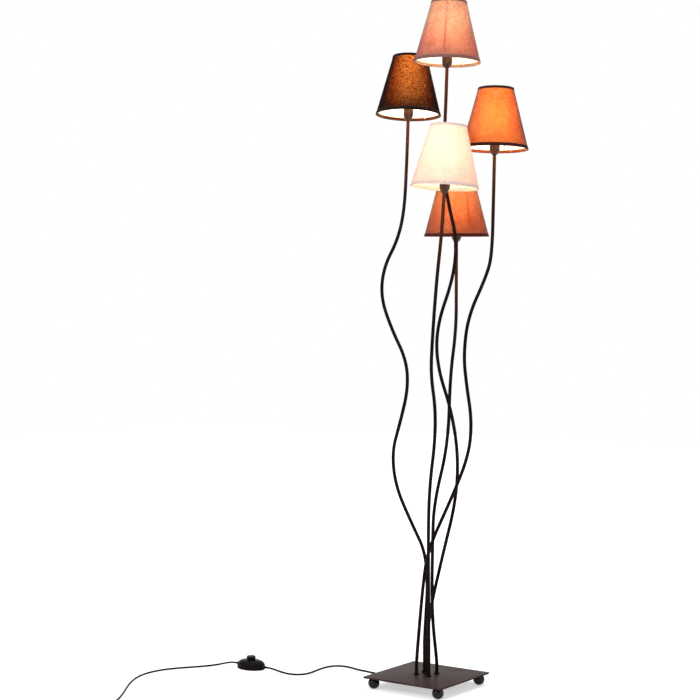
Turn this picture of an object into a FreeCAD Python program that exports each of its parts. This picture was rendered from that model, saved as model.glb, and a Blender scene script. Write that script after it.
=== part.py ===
import FreeCAD, Part
import math
import os
import Sketcher
from FreeCAD import Placement, Rotation, Vector

# A tree floor lamp: five bent tubes rise from a square steel plate on ball feet, and each ends
# in a small lampholder with a cone shade. A foot switch sits on the mains lead.
# Lengths are in millimetres. +Z is up and z = 0 is the floor. The plate's edges lie along X and Y.

doc = FreeCAD.newDocument("tree_floor_lamp")
sheet = doc.addObject("Spreadsheet::Sheet", "sizes")

SIZES = [
    # the plate and what stands under it
    ("plate_x", -23, "plate centre, from the middle of the whole lamp"),
    ("plate_y", -31, "plate centre, from the middle of the whole lamp"),
    ("plate_side", 212, "square plate, edge to edge"),
    ("plate_thick", 4, "steel plate"),
    ("plate_corner", 2.5, "corner radius"),
    ("foot_radius", 13.5, "turned ball foot"),
    ("foot_glide", 0.6, "slice off the ball where it stands"),
    ("foot_seat", 1.9, "slice off the ball where it meets the plate"),
    ("foot_inset", 18, "foot centre from the plate's edge"),
    ("stud_radius", 3, "threaded stud of a foot"),
    ("stud_in_ball", 12, "stud length inside the ball"),
    ("stud_in_plate", 2.8, "stud length inside the plate"),
    ("hole_end", 0.2, "blind hole past the end of what it holds"),
    ("slip", 0.05, "radial clearance of a close fit"),
    # the stems and how the plate holds them
    ("stem_radius", 4, "bent steel tube, outside"),
    ("stem_wall", 1, "wall of the tube"),
    ("hole_pitch", 17, "outer stem holes from the plate's centre, along each edge"),
    ("hole_slack", 0.2, "radial clearance of a stem in the plate"),
    ("collar_radius", 6.2, "collar on the plate round each stem"),
    ("collar_height", 4, "collar"),
    ("collar_bevel", 1, "bevel of the collar's upper edge"),
    ("nut_radius", 7.5, "hexagon nut under the plate, across corners"),
    ("nut_height", 6, "hexagon nut"),
    ("stem_tail", 1.6, "stem below its nut"),
    ("bend_share", 0.45, "share of the shorter run that each bend takes up"),
    ("neck_run", 110, "straight stem below a shade"),
    # the wiring box under the plate
    ("box_length", 96, "along X"),
    ("box_width", 68, "along Y"),
    ("box_depth", 17.5, "below the plate"),
    ("box_wall", 1.5, "pressed steel"),
    ("box_corner", 5, "corner radius"),
    ("box_shift", -14, "box centre from the plate's centre, along X"),
    ("box_lip", 8, "rim that lies against the plate"),
    ("box_screw_radius", 1.5, "screw through the rim"),
    ("box_screw_length", 4.3, "screw below its head"),
    ("box_head_radius", 2.8, "pan head"),
    ("box_head_height", 1.8, "pan head"),
    ("block_side", 42, "terminal block, square in plan"),
    ("block_height", 8, "terminal block"),
    ("lead_radius", 1.5, "two-core lead of one lamp"),
    # the lampholder, from the plane of the shade's lower rim upwards
    ("cap_bottom", -13, "underside of the turned cup"),
    ("cap_neck", 5.4, "cup radius at its bottom"),
    ("cap_radius", 12.2, "cup radius at its mouth"),
    ("cap_shoulder", 1, "height where the bowl turns straight"),
    ("cap_top", 18, "height of the cup's mouth"),
    ("cap_wall", 1, "spun brass"),
    ("stem_entry", 8.8, "stem length inside the cup"),
    ("boss_radius", 4.75, "holder where it stands on the cup's floor"),
    ("holder_gap", 0.4, "holder inside the cup"),
    ("wire_hole", 2.5, "radius of the hole between stem and socket"),
    ("flange_radius", 15.5, "holder flange over the cup's mouth"),
    ("flange_height", 2, "holder flange"),
    ("thread_radius", 13.9, "outer thread of the holder"),
    ("thread_height", 14, "outer thread of the holder"),
    ("socket_radius", 7.3, "socket for a small screw base"),
    ("socket_floor", 17, "height of the socket's floor"),
    ("contact_radius", 4.5, "centre contact"),
    ("contact_height", 0.8, "centre contact"),
    ("ring_radius", 16.5, "shade ring, threaded on the holder"),
    ("ring_height", 6, "shade ring"),
    ("ring_bevel", 1.2, "bevel at its top"),
    # the shade
    ("shade_bottom", 77, "outer radius of the lower rim"),
    ("shade_top", 40.5, "outer radius of the upper rim"),
    ("shade_height", 140, "rim to rim"),
    ("shade_wall", 1, "cloth on its stiff lining"),
    ("hoop_thick", 1.2, "steel hoop inside the shade's lower rim"),
    ("hoop_height", 5, "steel hoop"),
    ("hoop_level", 0.6, "hoop above the shade's lower edge"),
    ("hoop_gap", 0.1, "hoop to the shade's wall"),
    ("fitter_bore", 14.1, "ring of the frame that sits on the holder"),
    ("fitter_radius", 19, "ring of the frame that sits on the holder"),
    ("fitter_height", 1.5, "ring of the frame that sits on the holder"),
    ("spoke_width", 3.2, "flat spokes from the ring to the hoop"),
    ("spoke_start", 17, "radius where the spokes leave the ring"),
    # the bulb
    ("base_radius", 6.9, "small screw base"),
    ("base_tip", 3.5, "radius of the contact at its end"),
    ("base_cone", 2.6, "height of the insulating cone"),
    ("base_height", 20.2, "base with its cone"),
    ("bulb_radius", 22.5, "round glass"),
    ("bulb_neck", 9, "glass radius at the base"),
    ("bulb_neck_height", 4, "cuff of the glass"),
    ("bulb_throat", 12, "glass radius where the ball begins"),
    ("bulb_length", 76.6, "end to end"),
    # the mains lead and its plug
    ("cord_radius", 2.25, "round two-core lead"),
    ("cord_lift", 0.05, "lead above the floor"),
    ("grip_y", 8, "cord grip from the plate's centre, along Y"),
    ("grip_level", 14, "height of the cord where it leaves the box"),
    ("grip_neck", 4.2, "grip inside the wall of the box"),
    ("grip_flange", 5.4, "grip flanges"),
    ("grip_flange_thick", 1.6, "grip flanges"),
    ("grip_root", 4.8, "taper where it leaves the box"),
    ("grip_tip", 3.1, "taper at its end"),
    ("grip_length", 24, "taper"),
    ("coil_x", -472, "coil centre from the plate's centre"),
    ("coil_y", -651, "coil centre from the plate's centre"),
    ("coil_inner", 20, "smallest radius of the turns"),
    ("coil_pitch", 5, "turn to turn, across and up"),
    ("coil_turns", 4.25, "in two layers"),
    ("coil_start", 14, "degrees, where the lead joins the outer turn"),
    ("cord_lead", 24, "straight run into the coil"),
    ("plug_clear", 18, "straight run from the coil to the plug"),
    ("plug_length", 36, "plug body"),
    ("plug_width", 35, "plug body at the pins"),
    ("plug_waist", 13, "plug body at the lead"),
    ("plug_half", 7.2, "half the thickness of the plug"),
    ("plug_bevel", 2, "bevel of the plug's edges"),
    ("sleeve_length", 22, "tapered sleeve of the plug"),
    ("sleeve_root", 4.6, "sleeve at the plug"),
    ("sleeve_tip", 3.2, "sleeve at its end"),
    ("pin_radius", 2, "plug pin"),
    ("pin_pitch", 19, "pin to pin"),
    ("pin_length", 19, "pin outside the plug"),
    ("pin_root", 10, "pin inside the plug"),
    # the foot switch
    ("switch_x", -455, "switch centre from the plate's centre"),
    ("switch_y", -88, "switch centre from the plate's centre"),
    ("switch_long", 38, "half length of the switch"),
    ("switch_wide", 27, "half width of the switch"),
    ("switch_wall", 2, "moulded wall"),
    ("tray_height", 8, "lower shell, up to the cord's axis"),
    ("dome_height", 13.5, "upper shell above the lower one"),
    ("dome_low", 0.4, "share of the dome's height at its second outline"),
    ("dome_high", 0.77, "share of the dome's height at its third outline"),
    ("dome_in_low", 1.6, "second outline inside the first"),
    ("dome_in_high", 5.2, "third outline inside the first"),
    ("dome_in_top", 10, "edge of the dome's flat top inside the first outline"),
    ("button_radius", 11, "foot button"),
    ("button_slack", 0.4, "button in its hole"),
    ("button_height", 9.5, "button above the dome"),
    ("button_round", 1.8, "rounding of the button's edge"),
    ("button_flange", 12.9, "flange that keeps the button in"),
    ("button_flange_height", 2.4, "flange that keeps the button in"),
    ("button_rest", 0.1, "flange below the dome's ceiling"),
    ("button_hollow", 8.4, "bore inside the button"),
    ("button_hollow_depth", 7, "bore inside the button"),
    ("spring_radius", 7, "button spring, outside"),
    ("spring_wall", 1, "button spring"),
    ("works_length", 30, "switch mechanism, along X"),
    ("works_width", 20, "switch mechanism, along Y"),
    ("works_height", 6, "switch mechanism"),
    ("switch_screw_y", 18, "screws from the middle"),
    ("switch_screw_radius", 1.4, "screws"),
    ("switch_screw_length", 11, "screws"),
    ("switch_head_radius", 2.8, "screw heads"),
    ("switch_head_height", 1.2, "screw heads"),
    ("switch_head_sink", 0.3, "screw heads above the tray's underside"),
    ("post_radius", 3.2, "posts that take the screws"),
    ("post_height", 7, "posts that take the screws"),
    ("stub_length", 7, "sleeves at the switch's ends"),
    ("stub_root", 4.6, "sleeves at the switch"),
    ("stub_tip", 3.2, "sleeves at their ends"),
    ("stub_depth", 4, "sleeves inside the outline"),
]

# Each lamp: where its shade's lower rim is centred (x, y from the plate's centre, z from the floor),
# how many degrees it leans towards +X and +Y, and how high its stem stands before its first bend.
LAMP_SIZES = {
    "top": {"x": 33, "y": 34, "level": 1448, "lean_x": 1.5, "lean_y": 1, "first_bend": 90},
    "left": {"x": -92, "y": 59, "level": 1338, "lean_x": -0.5, "lean_y": 4, "first_bend": 110},
    "right": {"x": 138, "y": 72, "level": 1244, "lean_x": 0.5, "lean_y": 1.5, "first_bend": 60},
    "front": {"x": 95, "y": -73, "level": 1149, "lean_x": 2.5, "lean_y": 3, "first_bend": 130},
    "lower": {"x": -4, "y": 134, "level": 1051, "lean_x": 1.5, "lean_y": -2, "first_bend": 60},
}

# The hole that each stem comes out of, in steps of hole_pitch from the plate's centre.
LAMP_HOLES = {"top": (0, 0), "left": (-1, 1), "right": (-1, -1), "front": (1, -1), "lower": (1, 1)}

# The bends of each stem: x and y from the plate's centre in millimetres, and the height in
# thousandths of the height of the stem's own shade.
STEM_BENDS = {
    "top": [
        (5, 3, 117), (29, 25, 214), (50, 47, 297), (53, 53, 369), (40, 44, 442), (12, 24, 515),
        (12, 23, 579), (44, 45, 656), (50, 50, 718), (33, 36, 780), (24, 30, 839),
    ],
    "left": [
        (-10, 25, 218), (-47, 0, 288), (-75, -19, 348), (-82, -23, 407), (-68, -11, 456),
        (-53, 1, 516), (-58, 1, 567), (-89, -13, 619), (-115, -22, 676), (-113, -13, 729),
        (-91, 13, 777), (-86, 34, 830),
    ],
    "right": [
        (-3, -13, 185), (8, -8, 257), (53, 24, 354), (86, 46, 434), (92, 49, 498),
        (82, 42, 563), (76, 38, 619), (85, 43, 691), (119, 66, 764), (131, 73, 804),
    ],
    "front": [
        (17, -20, 331), (22, -20, 418), (34, -18, 496), (40, -25, 566), (39, -43, 631),
        (50, -55, 696), (69, -66, 818),
    ],
    "lower": [
        (3, 17, 162), (1, 23, 314), (-1, 32, 404), (16, 67, 533), (9, 86, 685), (12, 108, 790),
    ],
}

# The lead from the cord grip to the foot switch: x and y from the plate's centre, and the height.
CORD_TO_SWITCH = [
    (-119, 12.5, 11.5), (-137, 22, 5.6), (-159, 33.5, 2.3), (-190, 40, 2.3), (-228, 44, 2.3),
    (-266, 57, 2.3), (-297, 52, 2.3), (-310, 22, 2.3), (-305, -22, 2.3), (-299, -60, 2.3),
    (-310, -84, 2.3), (-334, -92, 2.3), (-360, -86, 2.3), (-376, -86, 4.5),
]
# The lead from the switch to the coil.
CORD_TO_COIL = [
    (-527, -95, 6), (-540, -116, 3), (-560, -151, 2.3), (-589, -190, 2.3), (-608, -223, 2.3),
    (-618, -262, 2.3), (-615, -304, 2.3), (-599, -347, 2.3), (-574, -390, 2.3),
    (-543, -434, 2.3), (-510, -480, 2.3), (-480, -527, 2.3), (-458, -578, 2.3),
]


class Size:
    """A length that knows both its value and the expression on the sheet that gives it."""

    def __init__(self, value, text=None):
        self.value = float(value)
        self.text = text or repr(float(value))

    def __add__(self, other):
        other = as_size(other)
        return Size(self.value + other.value, f"({self.text} + {other.text})")

    def __sub__(self, other):
        other = as_size(other)
        return Size(self.value - other.value, f"({self.text} - {other.text})")

    def __mul__(self, other):
        other = as_size(other)
        return Size(self.value * other.value, f"({self.text} * {other.text})")

    def __truediv__(self, other):
        other = as_size(other)
        return Size(self.value / other.value, f"({self.text} / {other.text})")

    def __neg__(self):
        return Size(-self.value, f"(0 - {self.text})")

    def root(self):
        return Size(math.sqrt(self.value), f"sqrt({self.text})")


def as_size(number):
    return number if isinstance(number, Size) else Size(number)


class Sizes:
    """The cells of the sheet, by their aliases."""

    def __init__(self, rows):
        for line, (name, number, note) in enumerate(rows, start=1):
            sheet.set(f"A{line}", name)
            sheet.set(f"B{line}", str(number))
            sheet.set(f"C{line}", note)
            sheet.setAlias(f"B{line}", name)
            setattr(self, name, Size(number, f"sizes.{name}"))

    def lamp(self, lamp, what):
        return getattr(self, f"{lamp}_{what}")


LAMPS = list(LAMP_SIZES)
lamp_rows = [
    (f"{lamp}_{what}", number, f"{lamp} lamp")
    for lamp in LAMPS
    for what, number in LAMP_SIZES[lamp].items()
]
s = Sizes(SIZES + lamp_rows)
doc.recompute()

nodes = {}


def keep(name, thing):
    """Gives a finished sub-part its name."""
    thing.Label = name
    nodes[name] = thing
    return thing


def bind(thing, **sizes):
    """Ties properties of an object to the sheet. Two underscores stand for a dot."""
    for prop, size in sizes.items():
        thing.setExpression(prop.replace("__", "."), as_size(size).text)
    return thing


def solid(kind, name, at=(0, 0, 0), turn=None, **sizes):
    """A primitive with its sizes and its place tied to the sheet."""
    thing = doc.addObject(kind, name)
    if turn is not None:
        thing.Placement = Placement(Vector(), turn)
    bind(thing, **sizes)
    bind(thing, Placement__Base__x=at[0], Placement__Base__y=at[1], Placement__Base__z=at[2])
    return thing


def cut(name, base, *tools):
    """base without the tools."""
    for number, tool in enumerate(tools):
        last = number == len(tools) - 1
        step = doc.addObject("Part::Cut", name if last else f"{name}_cut_{number}")
        step.Base = base
        step.Tool = tool
        base = step
    return base


def fuse(name, *pieces):
    joined = doc.addObject("Part::MultiFuse", name)
    joined.Shapes = list(pieces)
    return joined


def group(name, pieces):
    """Like pieces that share a node, each a solid of its own."""
    together = doc.addObject("Part::Compound", name)
    together.Links = pieces
    return together


def plane(body, role):
    return next(f for f in body.Origin.OriginFeatures if f.Role == role)


def outline(body, name, role, corners, level=0):
    """A closed sketch. A corner is (across, up), or (across, up, radius) where an arc leads on
    from it to the next one: anticlockwise if the radius is positive, clockwise if negative."""
    sketch = body.newObject("Sketcher::SketchObject", name)
    sketch.AttachmentSupport = [(plane(body, role), "")]
    sketch.MapMode = "FlatFace"
    bind(sketch, AttachmentOffset__Base__z=level)
    corners = [tuple(as_size(part) for part in corner) for corner in corners]
    edges = []
    for number, corner in enumerate(corners):
        following = corners[(number + 1) % len(corners)]
        start = Vector(corner[0].value, corner[1].value, 0)
        end = Vector(following[0].value, following[1].value, 0)
        if len(corner) == 2:
            edges.append((sketch.addGeometry(Part.LineSegment(start, end), False), 1, 2))
            continue
        radius = abs(corner[2].value)
        side = 1 if corner[2].value > 0 else -1
        chord = end - start
        left = Vector(-chord.y, chord.x, 0).normalize()
        centre = (start + end) / 2 + left * side * math.sqrt(radius**2 - chord.Length**2 / 4)
        first, second = (start, end) if side > 0 else (end, start)
        angles = [math.atan2(p.y - centre.y, p.x - centre.x) for p in (first, second)]
        arc = Part.ArcOfCircle(Part.Circle(centre, Vector(0, 0, 1), radius), *angles)
        edge = sketch.addGeometry(arc, False)
        edges.append((edge, 1, 2) if side > 0 else (edge, 2, 1))
        tie(sketch, corner[2] if side > 0 else -corner[2], "Radius", edge, radius)
    for number, (edge, start, end) in enumerate(edges):
        other, other_start, _ = edges[(number + 1) % len(edges)]
        sketch.addConstraint(Sketcher.Constraint("Coincident", edge, end, other, other_start))
        across, up = corners[number][:2]
        for kind, axis, size in (("DistanceX", -2, across), ("DistanceY", -1, up)):
            if size.value == 0:
                sketch.addConstraint(Sketcher.Constraint("PointOnObject", edge, start, axis))
            else:
                tie(sketch, size, kind, -1, 1, edge, start, size.value)
    return sketch


def tie(sketch, size, *constraint):
    """Adds a constraint whose value comes from the sheet."""
    number = sketch.addConstraint(Sketcher.Constraint(*constraint))
    sketch.setExpression(f"Constraints[{number}]", size.text)


def turned(name, corners):
    """A body turned about its Z axis. Its corners are (radius, height)."""
    body = doc.addObject("PartDesign::Body", name)
    sketch = outline(body, f"{name}_profile", "XZ_Plane", corners)
    turn = body.newObject("PartDesign::Revolution", f"{name}_turned")
    turn.Profile = sketch
    turn.ReferenceAxis = (sketch, ["V_Axis"])
    turn.Angle = 360
    return body


def padded(name, corners, level, height):
    """A body raised from an outline that lies at a level."""
    body = doc.addObject("PartDesign::Body", name)
    sketch = outline(body, f"{name}_outline", "XY_Plane", corners, level)
    pad = body.newObject("PartDesign::Pad", f"{name}_pad")
    pad.Profile = sketch
    bind(pad, Length=height)
    return body


def pocket(body, name, corners, level, depth):
    """Cuts downwards from a level."""
    sketch = outline(body, f"{name}_outline", "XY_Plane", corners, level)
    hollow = body.newObject("PartDesign::Pocket", name)
    hollow.Profile = sketch
    bind(hollow, Length=depth)
    return hollow


def rounded(centre_x, centre_y, half_x, half_y, radius):
    """The corners of a rectangle with round corners."""
    x, y = as_size(centre_x), as_size(centre_y)
    return [
        (x + half_x, y - half_y + radius),
        (x + half_x, y + half_y - radius, radius),
        (x + half_x - radius, y + half_y),
        (x - half_x + radius, y + half_y, radius),
        (x - half_x, y + half_y - radius),
        (x - half_x, y - half_y + radius, radius),
        (x - half_x + radius, y - half_y),
        (x + half_x - radius, y - half_y, radius),
    ]


def round_holes(body, name, centres, radius, level, depth):
    """Round holes, cut downwards from a level."""
    sketch = body.newObject("Sketcher::SketchObject", f"{name}_centres")
    sketch.AttachmentSupport = [(plane(body, "XY_Plane"), "")]
    sketch.MapMode = "FlatFace"
    bind(sketch, AttachmentOffset__Base__z=level)
    for x, y in centres:
        x, y = as_size(x), as_size(y)
        middle = Vector(x.value, y.value, 0)
        edge = sketch.addGeometry(Part.Circle(middle, Vector(0, 0, 1), radius.value), False)
        tie(sketch, radius, "Radius", edge, radius.value)
        tie(sketch, x, "DistanceX", -1, 1, edge, 3, x.value)
        tie(sketch, y, "DistanceY", -1, 1, edge, 3, y.value)
    holes = body.newObject("PartDesign::Pocket", name)
    holes.Profile = sketch
    bind(holes, Length=depth)
    return holes


def made(name, shape, place=None):
    """A shape worked out by this file."""
    thing = doc.addObject("Part::Feature", name)
    thing.Shape = shape
    thing.Placement = place or Placement()
    return thing


def bent_path(name, points):
    """Straight runs through the points, joined by tangent arcs as large as the runs allow."""
    points = [Vector(p) for p in points]
    edges = []
    radii = []
    last = points[0]
    for before, corner, after in zip(points, points[1:], points[2:]):
        into = (corner - before).normalize()
        out = (after - corner).normalize()
        shorter = min((corner - before).Length, (after - corner).Length)
        half_turn = into.getAngle(out) / 2
        reach = s.bend_share.value * shorter
        radius = reach / math.tan(half_turn)
        inward = (out - into).normalize()
        top = corner + inward * (radius / math.cos(half_turn) - radius)
        start, end = corner - into * reach, corner + out * reach
        edges.append(Part.LineSegment(last, start).toShape())
        edges.append(Part.Arc(start, top, end).toShape())
        radii.append(radius)
        last = end
    edges.append(Part.LineSegment(last, points[-1]).toShape())
    path = Part.Wire(edges)
    print(f"{name}: {path.Length:.0f} long, tightest bends {sorted(round(r) for r in radii)[:4]}")
    return path


def tube(path, radius, sides):
    """A bar along a path, its round section drawn with so many sides."""
    first = path.Edges[0]
    along = first.tangentAt(first.FirstParameter)
    place = Placement(first.valueAt(first.FirstParameter), Rotation(Vector(0, 0, 1), along))
    step = 2 * math.pi / sides
    around = [Vector(math.cos(step * n), math.sin(step * n), 0) * radius for n in range(sides)]
    section = Part.makePolygon([place.multVec(corner) for corner in around + around[:1]])
    bar = path.makePipeShell([section], True, False)
    short_of = 1 - bar.Volume / (Part.Face(section).Area * path.Length)
    if abs(short_of) > 0.002:
        raise ValueError(f"the tube's volume is {100 * short_of:.2f} % short of its length")
    return bar


def biarc(start, start_way, end, end_way):
    """Two tangent arcs from one point and direction to another."""
    step = end - start
    ways = start_way + end_way
    a = 2 * (1 - start_way.dot(end_way))
    b = 2 * step.dot(ways)
    reach = (-b + math.sqrt(b * b + 4 * a * step.dot(step))) / (2 * a)
    first, second = start + start_way * reach, end - end_way * reach
    middle = (first + second) / 2
    arcs = []
    for p, corner, q in ((start, first, middle), (middle, second, end)):
        into, out = (corner - p).normalize(), (q - corner).normalize()
        half = into.getAngle(out) / 2
        radius = reach / math.tan(half)
        inward = (out - into).normalize()
        arcs.append(Part.Arc(p, corner + inward * (radius / math.cos(half) - radius), q).toShape())
    return arcs


# ---- where things are --------------------------------------------------------------------------

FLOOR = Size(0)
TUBE_SIDES = 10
CORD_SIDES = 8
plate_bottom = s.foot_radius * 2 - s.foot_glide - s.foot_seat
plate_top = plate_bottom + s.plate_thick
nut_top = plate_bottom
nut_bottom = nut_top - s.nut_height
stem_bottom = nut_bottom - s.stem_tail
holder_floor = s.cap_bottom + s.cap_wall
flange_top = s.cap_top + s.flange_height
fitter_bottom = flange_top + s.slip
ring_bottom = fitter_bottom + s.fitter_height + s.slip
bulb_seat = s.socket_floor + s.contact_height + s.slip


def from_plate(x, y):
    """A place given from the plate's centre, in the lamp's own frame."""
    return s.plate_x + x, s.plate_y + y


def hole_of(lamp):
    across, along = LAMP_HOLES[lamp]
    return from_plate(s.hole_pitch * across, s.hole_pitch * along)


def lamp_axis(lamp):
    """The direction in which a shade and its holder point."""
    lean_x = math.radians(s.lamp(lamp, "lean_x").value)
    lean_y = math.radians(s.lamp(lamp, "lean_y").value)
    return Vector(math.tan(lean_x), math.tan(lean_y), 1).normalize()


def lamp_centre(lamp):
    x, y = from_plate(s.lamp(lamp, "x"), s.lamp(lamp, "y"))
    return Vector(x.value, y.value, s.lamp(lamp, "level").value)


def on_lamp(lamp):
    return Placement(lamp_centre(lamp), Rotation(Vector(0, 0, 1), lamp_axis(lamp)))


# ---- base plate and feet -----------------------------------------------------------------------

plate_half = s.plate_side / 2
foot_reach = plate_half - s.foot_inset
centre_x, centre_y = from_plate(0, 0)
FOOT_CORNERS = {"left": (-1, -1), "front": (1, -1), "right": (1, 1), "back": (-1, 1)}
foot_places = {
    corner: from_plate(foot_reach * across, foot_reach * along)
    for corner, (across, along) in FOOT_CORNERS.items()
}
box_x = centre_x + s.box_shift
box_half_x, box_half_y = s.box_length / 2, s.box_width / 2
lip_x = box_half_x + s.box_lip / 2
lip_y = box_half_y + s.box_lip / 2
box_screws = [(box_x + lip_x * i, centre_y + lip_y * j) for i, j in FOOT_CORNERS.values()]

plate = padded(
    "base_plate",
    rounded(centre_x, centre_y, plate_half, plate_half, s.plate_corner),
    plate_bottom,
    s.plate_thick,
)
round_holes(
    plate,
    "stem_holes",
    [hole_of(lamp) for lamp in LAMPS],
    s.stem_radius + s.hole_slack,
    plate_top,
    s.plate_thick,
)
stud_hole = s.stud_in_plate + s.hole_end
round_holes(
    plate,
    "foot_holes",
    list(foot_places.values()),
    s.stud_radius + s.slip,
    plate_bottom + stud_hole,
    stud_hole,
)
screw_hole = s.box_screw_length - s.box_wall + s.hole_end
round_holes(
    plate,
    "box_holes",
    box_screws,
    s.box_screw_radius + s.slip,
    plate_bottom + screw_hole,
    screw_hole,
)
keep("base_plate", plate)

foot_centre = s.foot_radius - s.foot_glide
glide_radius = (s.foot_radius * s.foot_radius - foot_centre * foot_centre).root()
seat_up = s.foot_radius - s.foot_seat
seat_radius = (s.foot_radius * s.foot_radius - seat_up * seat_up).root()
stud_floor = plate_bottom - s.stud_in_ball - s.hole_end
for corner, (x, y) in foot_places.items():
    foot = turned(
        f"ball_foot_{corner}",
        [
            (0, 0),
            (glide_radius, 0, s.foot_radius),
            (seat_radius, plate_bottom),
            (s.stud_radius + s.slip, plate_bottom),
            (s.stud_radius + s.slip, stud_floor),
            (0, stud_floor),
        ],
    )
    bind(foot, Placement__Base__x=x, Placement__Base__y=y)
    keep(f"ball_foot_{corner}", foot)

keep(
    "foot_studs",
    group(
        "foot_studs",
        [
            solid(
                "Part::Cylinder",
                f"foot_stud_{corner}",
                at=(x, y, plate_bottom - s.stud_in_ball),
                Radius=s.stud_radius,
                Height=s.stud_in_ball + s.stud_in_plate,
            )
            for corner, (x, y) in foot_places.items()
        ],
    ),
)

# ---- stems, collars and nuts -------------------------------------------------------------------

collars = []
nuts = []
for lamp in LAMPS:
    x, y = hole_of(lamp)
    collar = turned(
        f"collar_{lamp}",
        [
            (s.stem_radius + s.slip, 0),
            (s.collar_radius, 0),
            (s.collar_radius, s.collar_height - s.collar_bevel),
            (s.collar_radius - s.collar_bevel, s.collar_height),
            (s.stem_radius + s.slip, s.collar_height),
        ],
    )
    bind(collar, Placement__Base__x=x, Placement__Base__y=y, Placement__Base__z=plate_top)
    collars.append(collar)
    hexagon = solid(
        "Part::Prism",
        f"nut_hexagon_{lamp}",
        at=(x, y, nut_bottom),
        Circumradius=s.nut_radius,
        Height=s.nut_height,
    )
    bore = solid(
        "Part::Cylinder",
        f"nut_bore_{lamp}",
        at=(x, y, nut_bottom - s.stem_tail),
        Radius=s.stem_radius + s.slip,
        Height=s.nut_height + s.stem_tail * 2,
    )
    nuts.append(cut(f"nut_{lamp}", hexagon, bore))
keep("stem_collars", group("stem_collars", collars))
keep("stem_nuts", group("stem_nuts", nuts))


def stem_points(lamp):
    """From the end under the plate, up through the bends, to the end inside the cup."""
    x, y = (size.value for size in hole_of(lamp))
    level = s.lamp(lamp, "level").value
    axis = lamp_axis(lamp)
    centre = lamp_centre(lamp)
    points = [Vector(x, y, stem_bottom.value), Vector(x, y, s.lamp(lamp, "first_bend").value)]
    for across, along, thousandths in STEM_BENDS[lamp]:
        x, y = from_plate(across, along)
        points.append(Vector(x.value, y.value, level * thousandths / 1000))
    points.append(centre - axis * s.neck_run.value)
    points.append(centre + axis * (s.cap_bottom + s.stem_entry).value)
    return points


for lamp in LAMPS:
    path = bent_path(f"stem_{lamp}", stem_points(lamp))
    outside = tube(path, s.stem_radius.value, TUBE_SIDES)
    inside = tube(path, (s.stem_radius - s.stem_wall).value, TUBE_SIDES)
    keep(f"stem_{lamp}", made(f"stem_{lamp}", outside.cut(inside)))

# ---- wiring box under the plate ----------------------------------------------------------------

box_bottom = plate_bottom - s.box_depth
box = padded(
    "wiring_box",
    rounded(box_x, centre_y, box_half_x, box_half_y, s.box_corner),
    box_bottom,
    s.box_depth,
)
lip = outline(
    box,
    "box_lip_outline",
    "XY_Plane",
    rounded(box_x, centre_y, box_half_x + s.box_lip, box_half_y + s.box_lip, s.box_corner),
    plate_bottom - s.box_wall,
)
lip_pad = box.newObject("PartDesign::Pad", "box_lip_pad")
lip_pad.Profile = lip
bind(lip_pad, Length=s.box_wall)
pocket(
    box,
    "box_inside",
    rounded(
        box_x,
        centre_y,
        box_half_x - s.box_wall,
        box_half_y - s.box_wall,
        s.box_corner - s.box_wall,
    ),
    plate_bottom,
    s.box_depth - s.box_wall,
)
round_holes(
    box, "lip_holes", box_screws, s.box_screw_radius + s.slip, plate_bottom, s.box_wall
)
grip_x = box_x - box_half_x
grip_y = centre_y + s.grip_y
facing_left = Rotation(Vector(0, 1, 0), -90)
grip_hole = solid(
    "Part::Cylinder",
    "grip_hole",
    at=(grip_x + s.box_wall * 2, grip_y, s.grip_level),
    turn=facing_left,
    Radius=s.grip_neck + s.slip,
    Height=s.box_wall * 3,
)
keep("wiring_box", cut("wiring_box_shell", box, grip_hole))

screws = []
for number, (x, y) in enumerate(box_screws):
    shank = solid(
        "Part::Cylinder",
        f"box_screw_shank_{number}",
        at=(x, y, plate_bottom - s.box_wall),
        Radius=s.box_screw_radius,
        Height=s.box_screw_length,
    )
    head = solid(
        "Part::Cylinder",
        f"box_screw_head_{number}",
        at=(x, y, plate_bottom - s.box_wall - s.box_head_height),
        Radius=s.box_head_radius,
        Height=s.box_head_height,
    )
    screws.append(fuse(f"box_screw_{number}", shank, head))
keep("wiring_box_screws", group("wiring_box_screws", screws))

block_bottom = box_bottom + s.box_wall
block_top = block_bottom + s.block_height
block = padded(
    "terminal_block",
    rounded(centre_x, centre_y, s.block_side / 2, s.block_side / 2, s.box_wall),
    block_bottom,
    s.block_height,
)
keep("terminal_block", block)

# Each lamp's lead comes straight down out of its stem, and the mains lead crosses from the grip.
leads = []
for lamp in LAMPS:
    x, y = hole_of(lamp)
    lead = solid(
        "Part::Cylinder",
        f"lead_{lamp}",
        at=(x, y, block_top),
        Radius=s.lead_radius,
        Height=plate_top - block_top,
    )
    leads.append(lead)
grip_inside = grip_x + s.box_wall + s.grip_flange_thick
mains = solid(
    "Part::Cylinder",
    "mains_inside",
    at=(grip_inside, grip_y, s.grip_level),
    turn=Rotation(Vector(0, 1, 0), 90),
    Radius=s.cord_radius,
    Height=centre_x - s.block_side / 2 - grip_inside,
)
keep("inner_leads", group("inner_leads", leads + [mains]))

grip = turned(
    "cord_grip",
    [
        (0, -(s.box_wall + s.grip_flange_thick)),
        (s.grip_flange, -(s.box_wall + s.grip_flange_thick)),
        (s.grip_flange, -s.box_wall),
        (s.grip_neck, -s.box_wall),
        (s.grip_neck, 0),
        (s.grip_flange, 0),
        (s.grip_flange, s.grip_flange_thick),
        (s.grip_root, s.grip_flange_thick),
        (s.grip_tip, s.grip_flange_thick + s.grip_length),
        (0, s.grip_flange_thick + s.grip_length),
    ],
)
grip.Placement = Placement(Vector(), facing_left)
bind(
    grip,
    Placement__Base__x=grip_x,
    Placement__Base__y=grip_y,
    Placement__Base__z=s.grip_level,
)
keep("cord_grip", grip)

# ---- lampholders, shades and bulbs -------------------------------------------------------------

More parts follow.
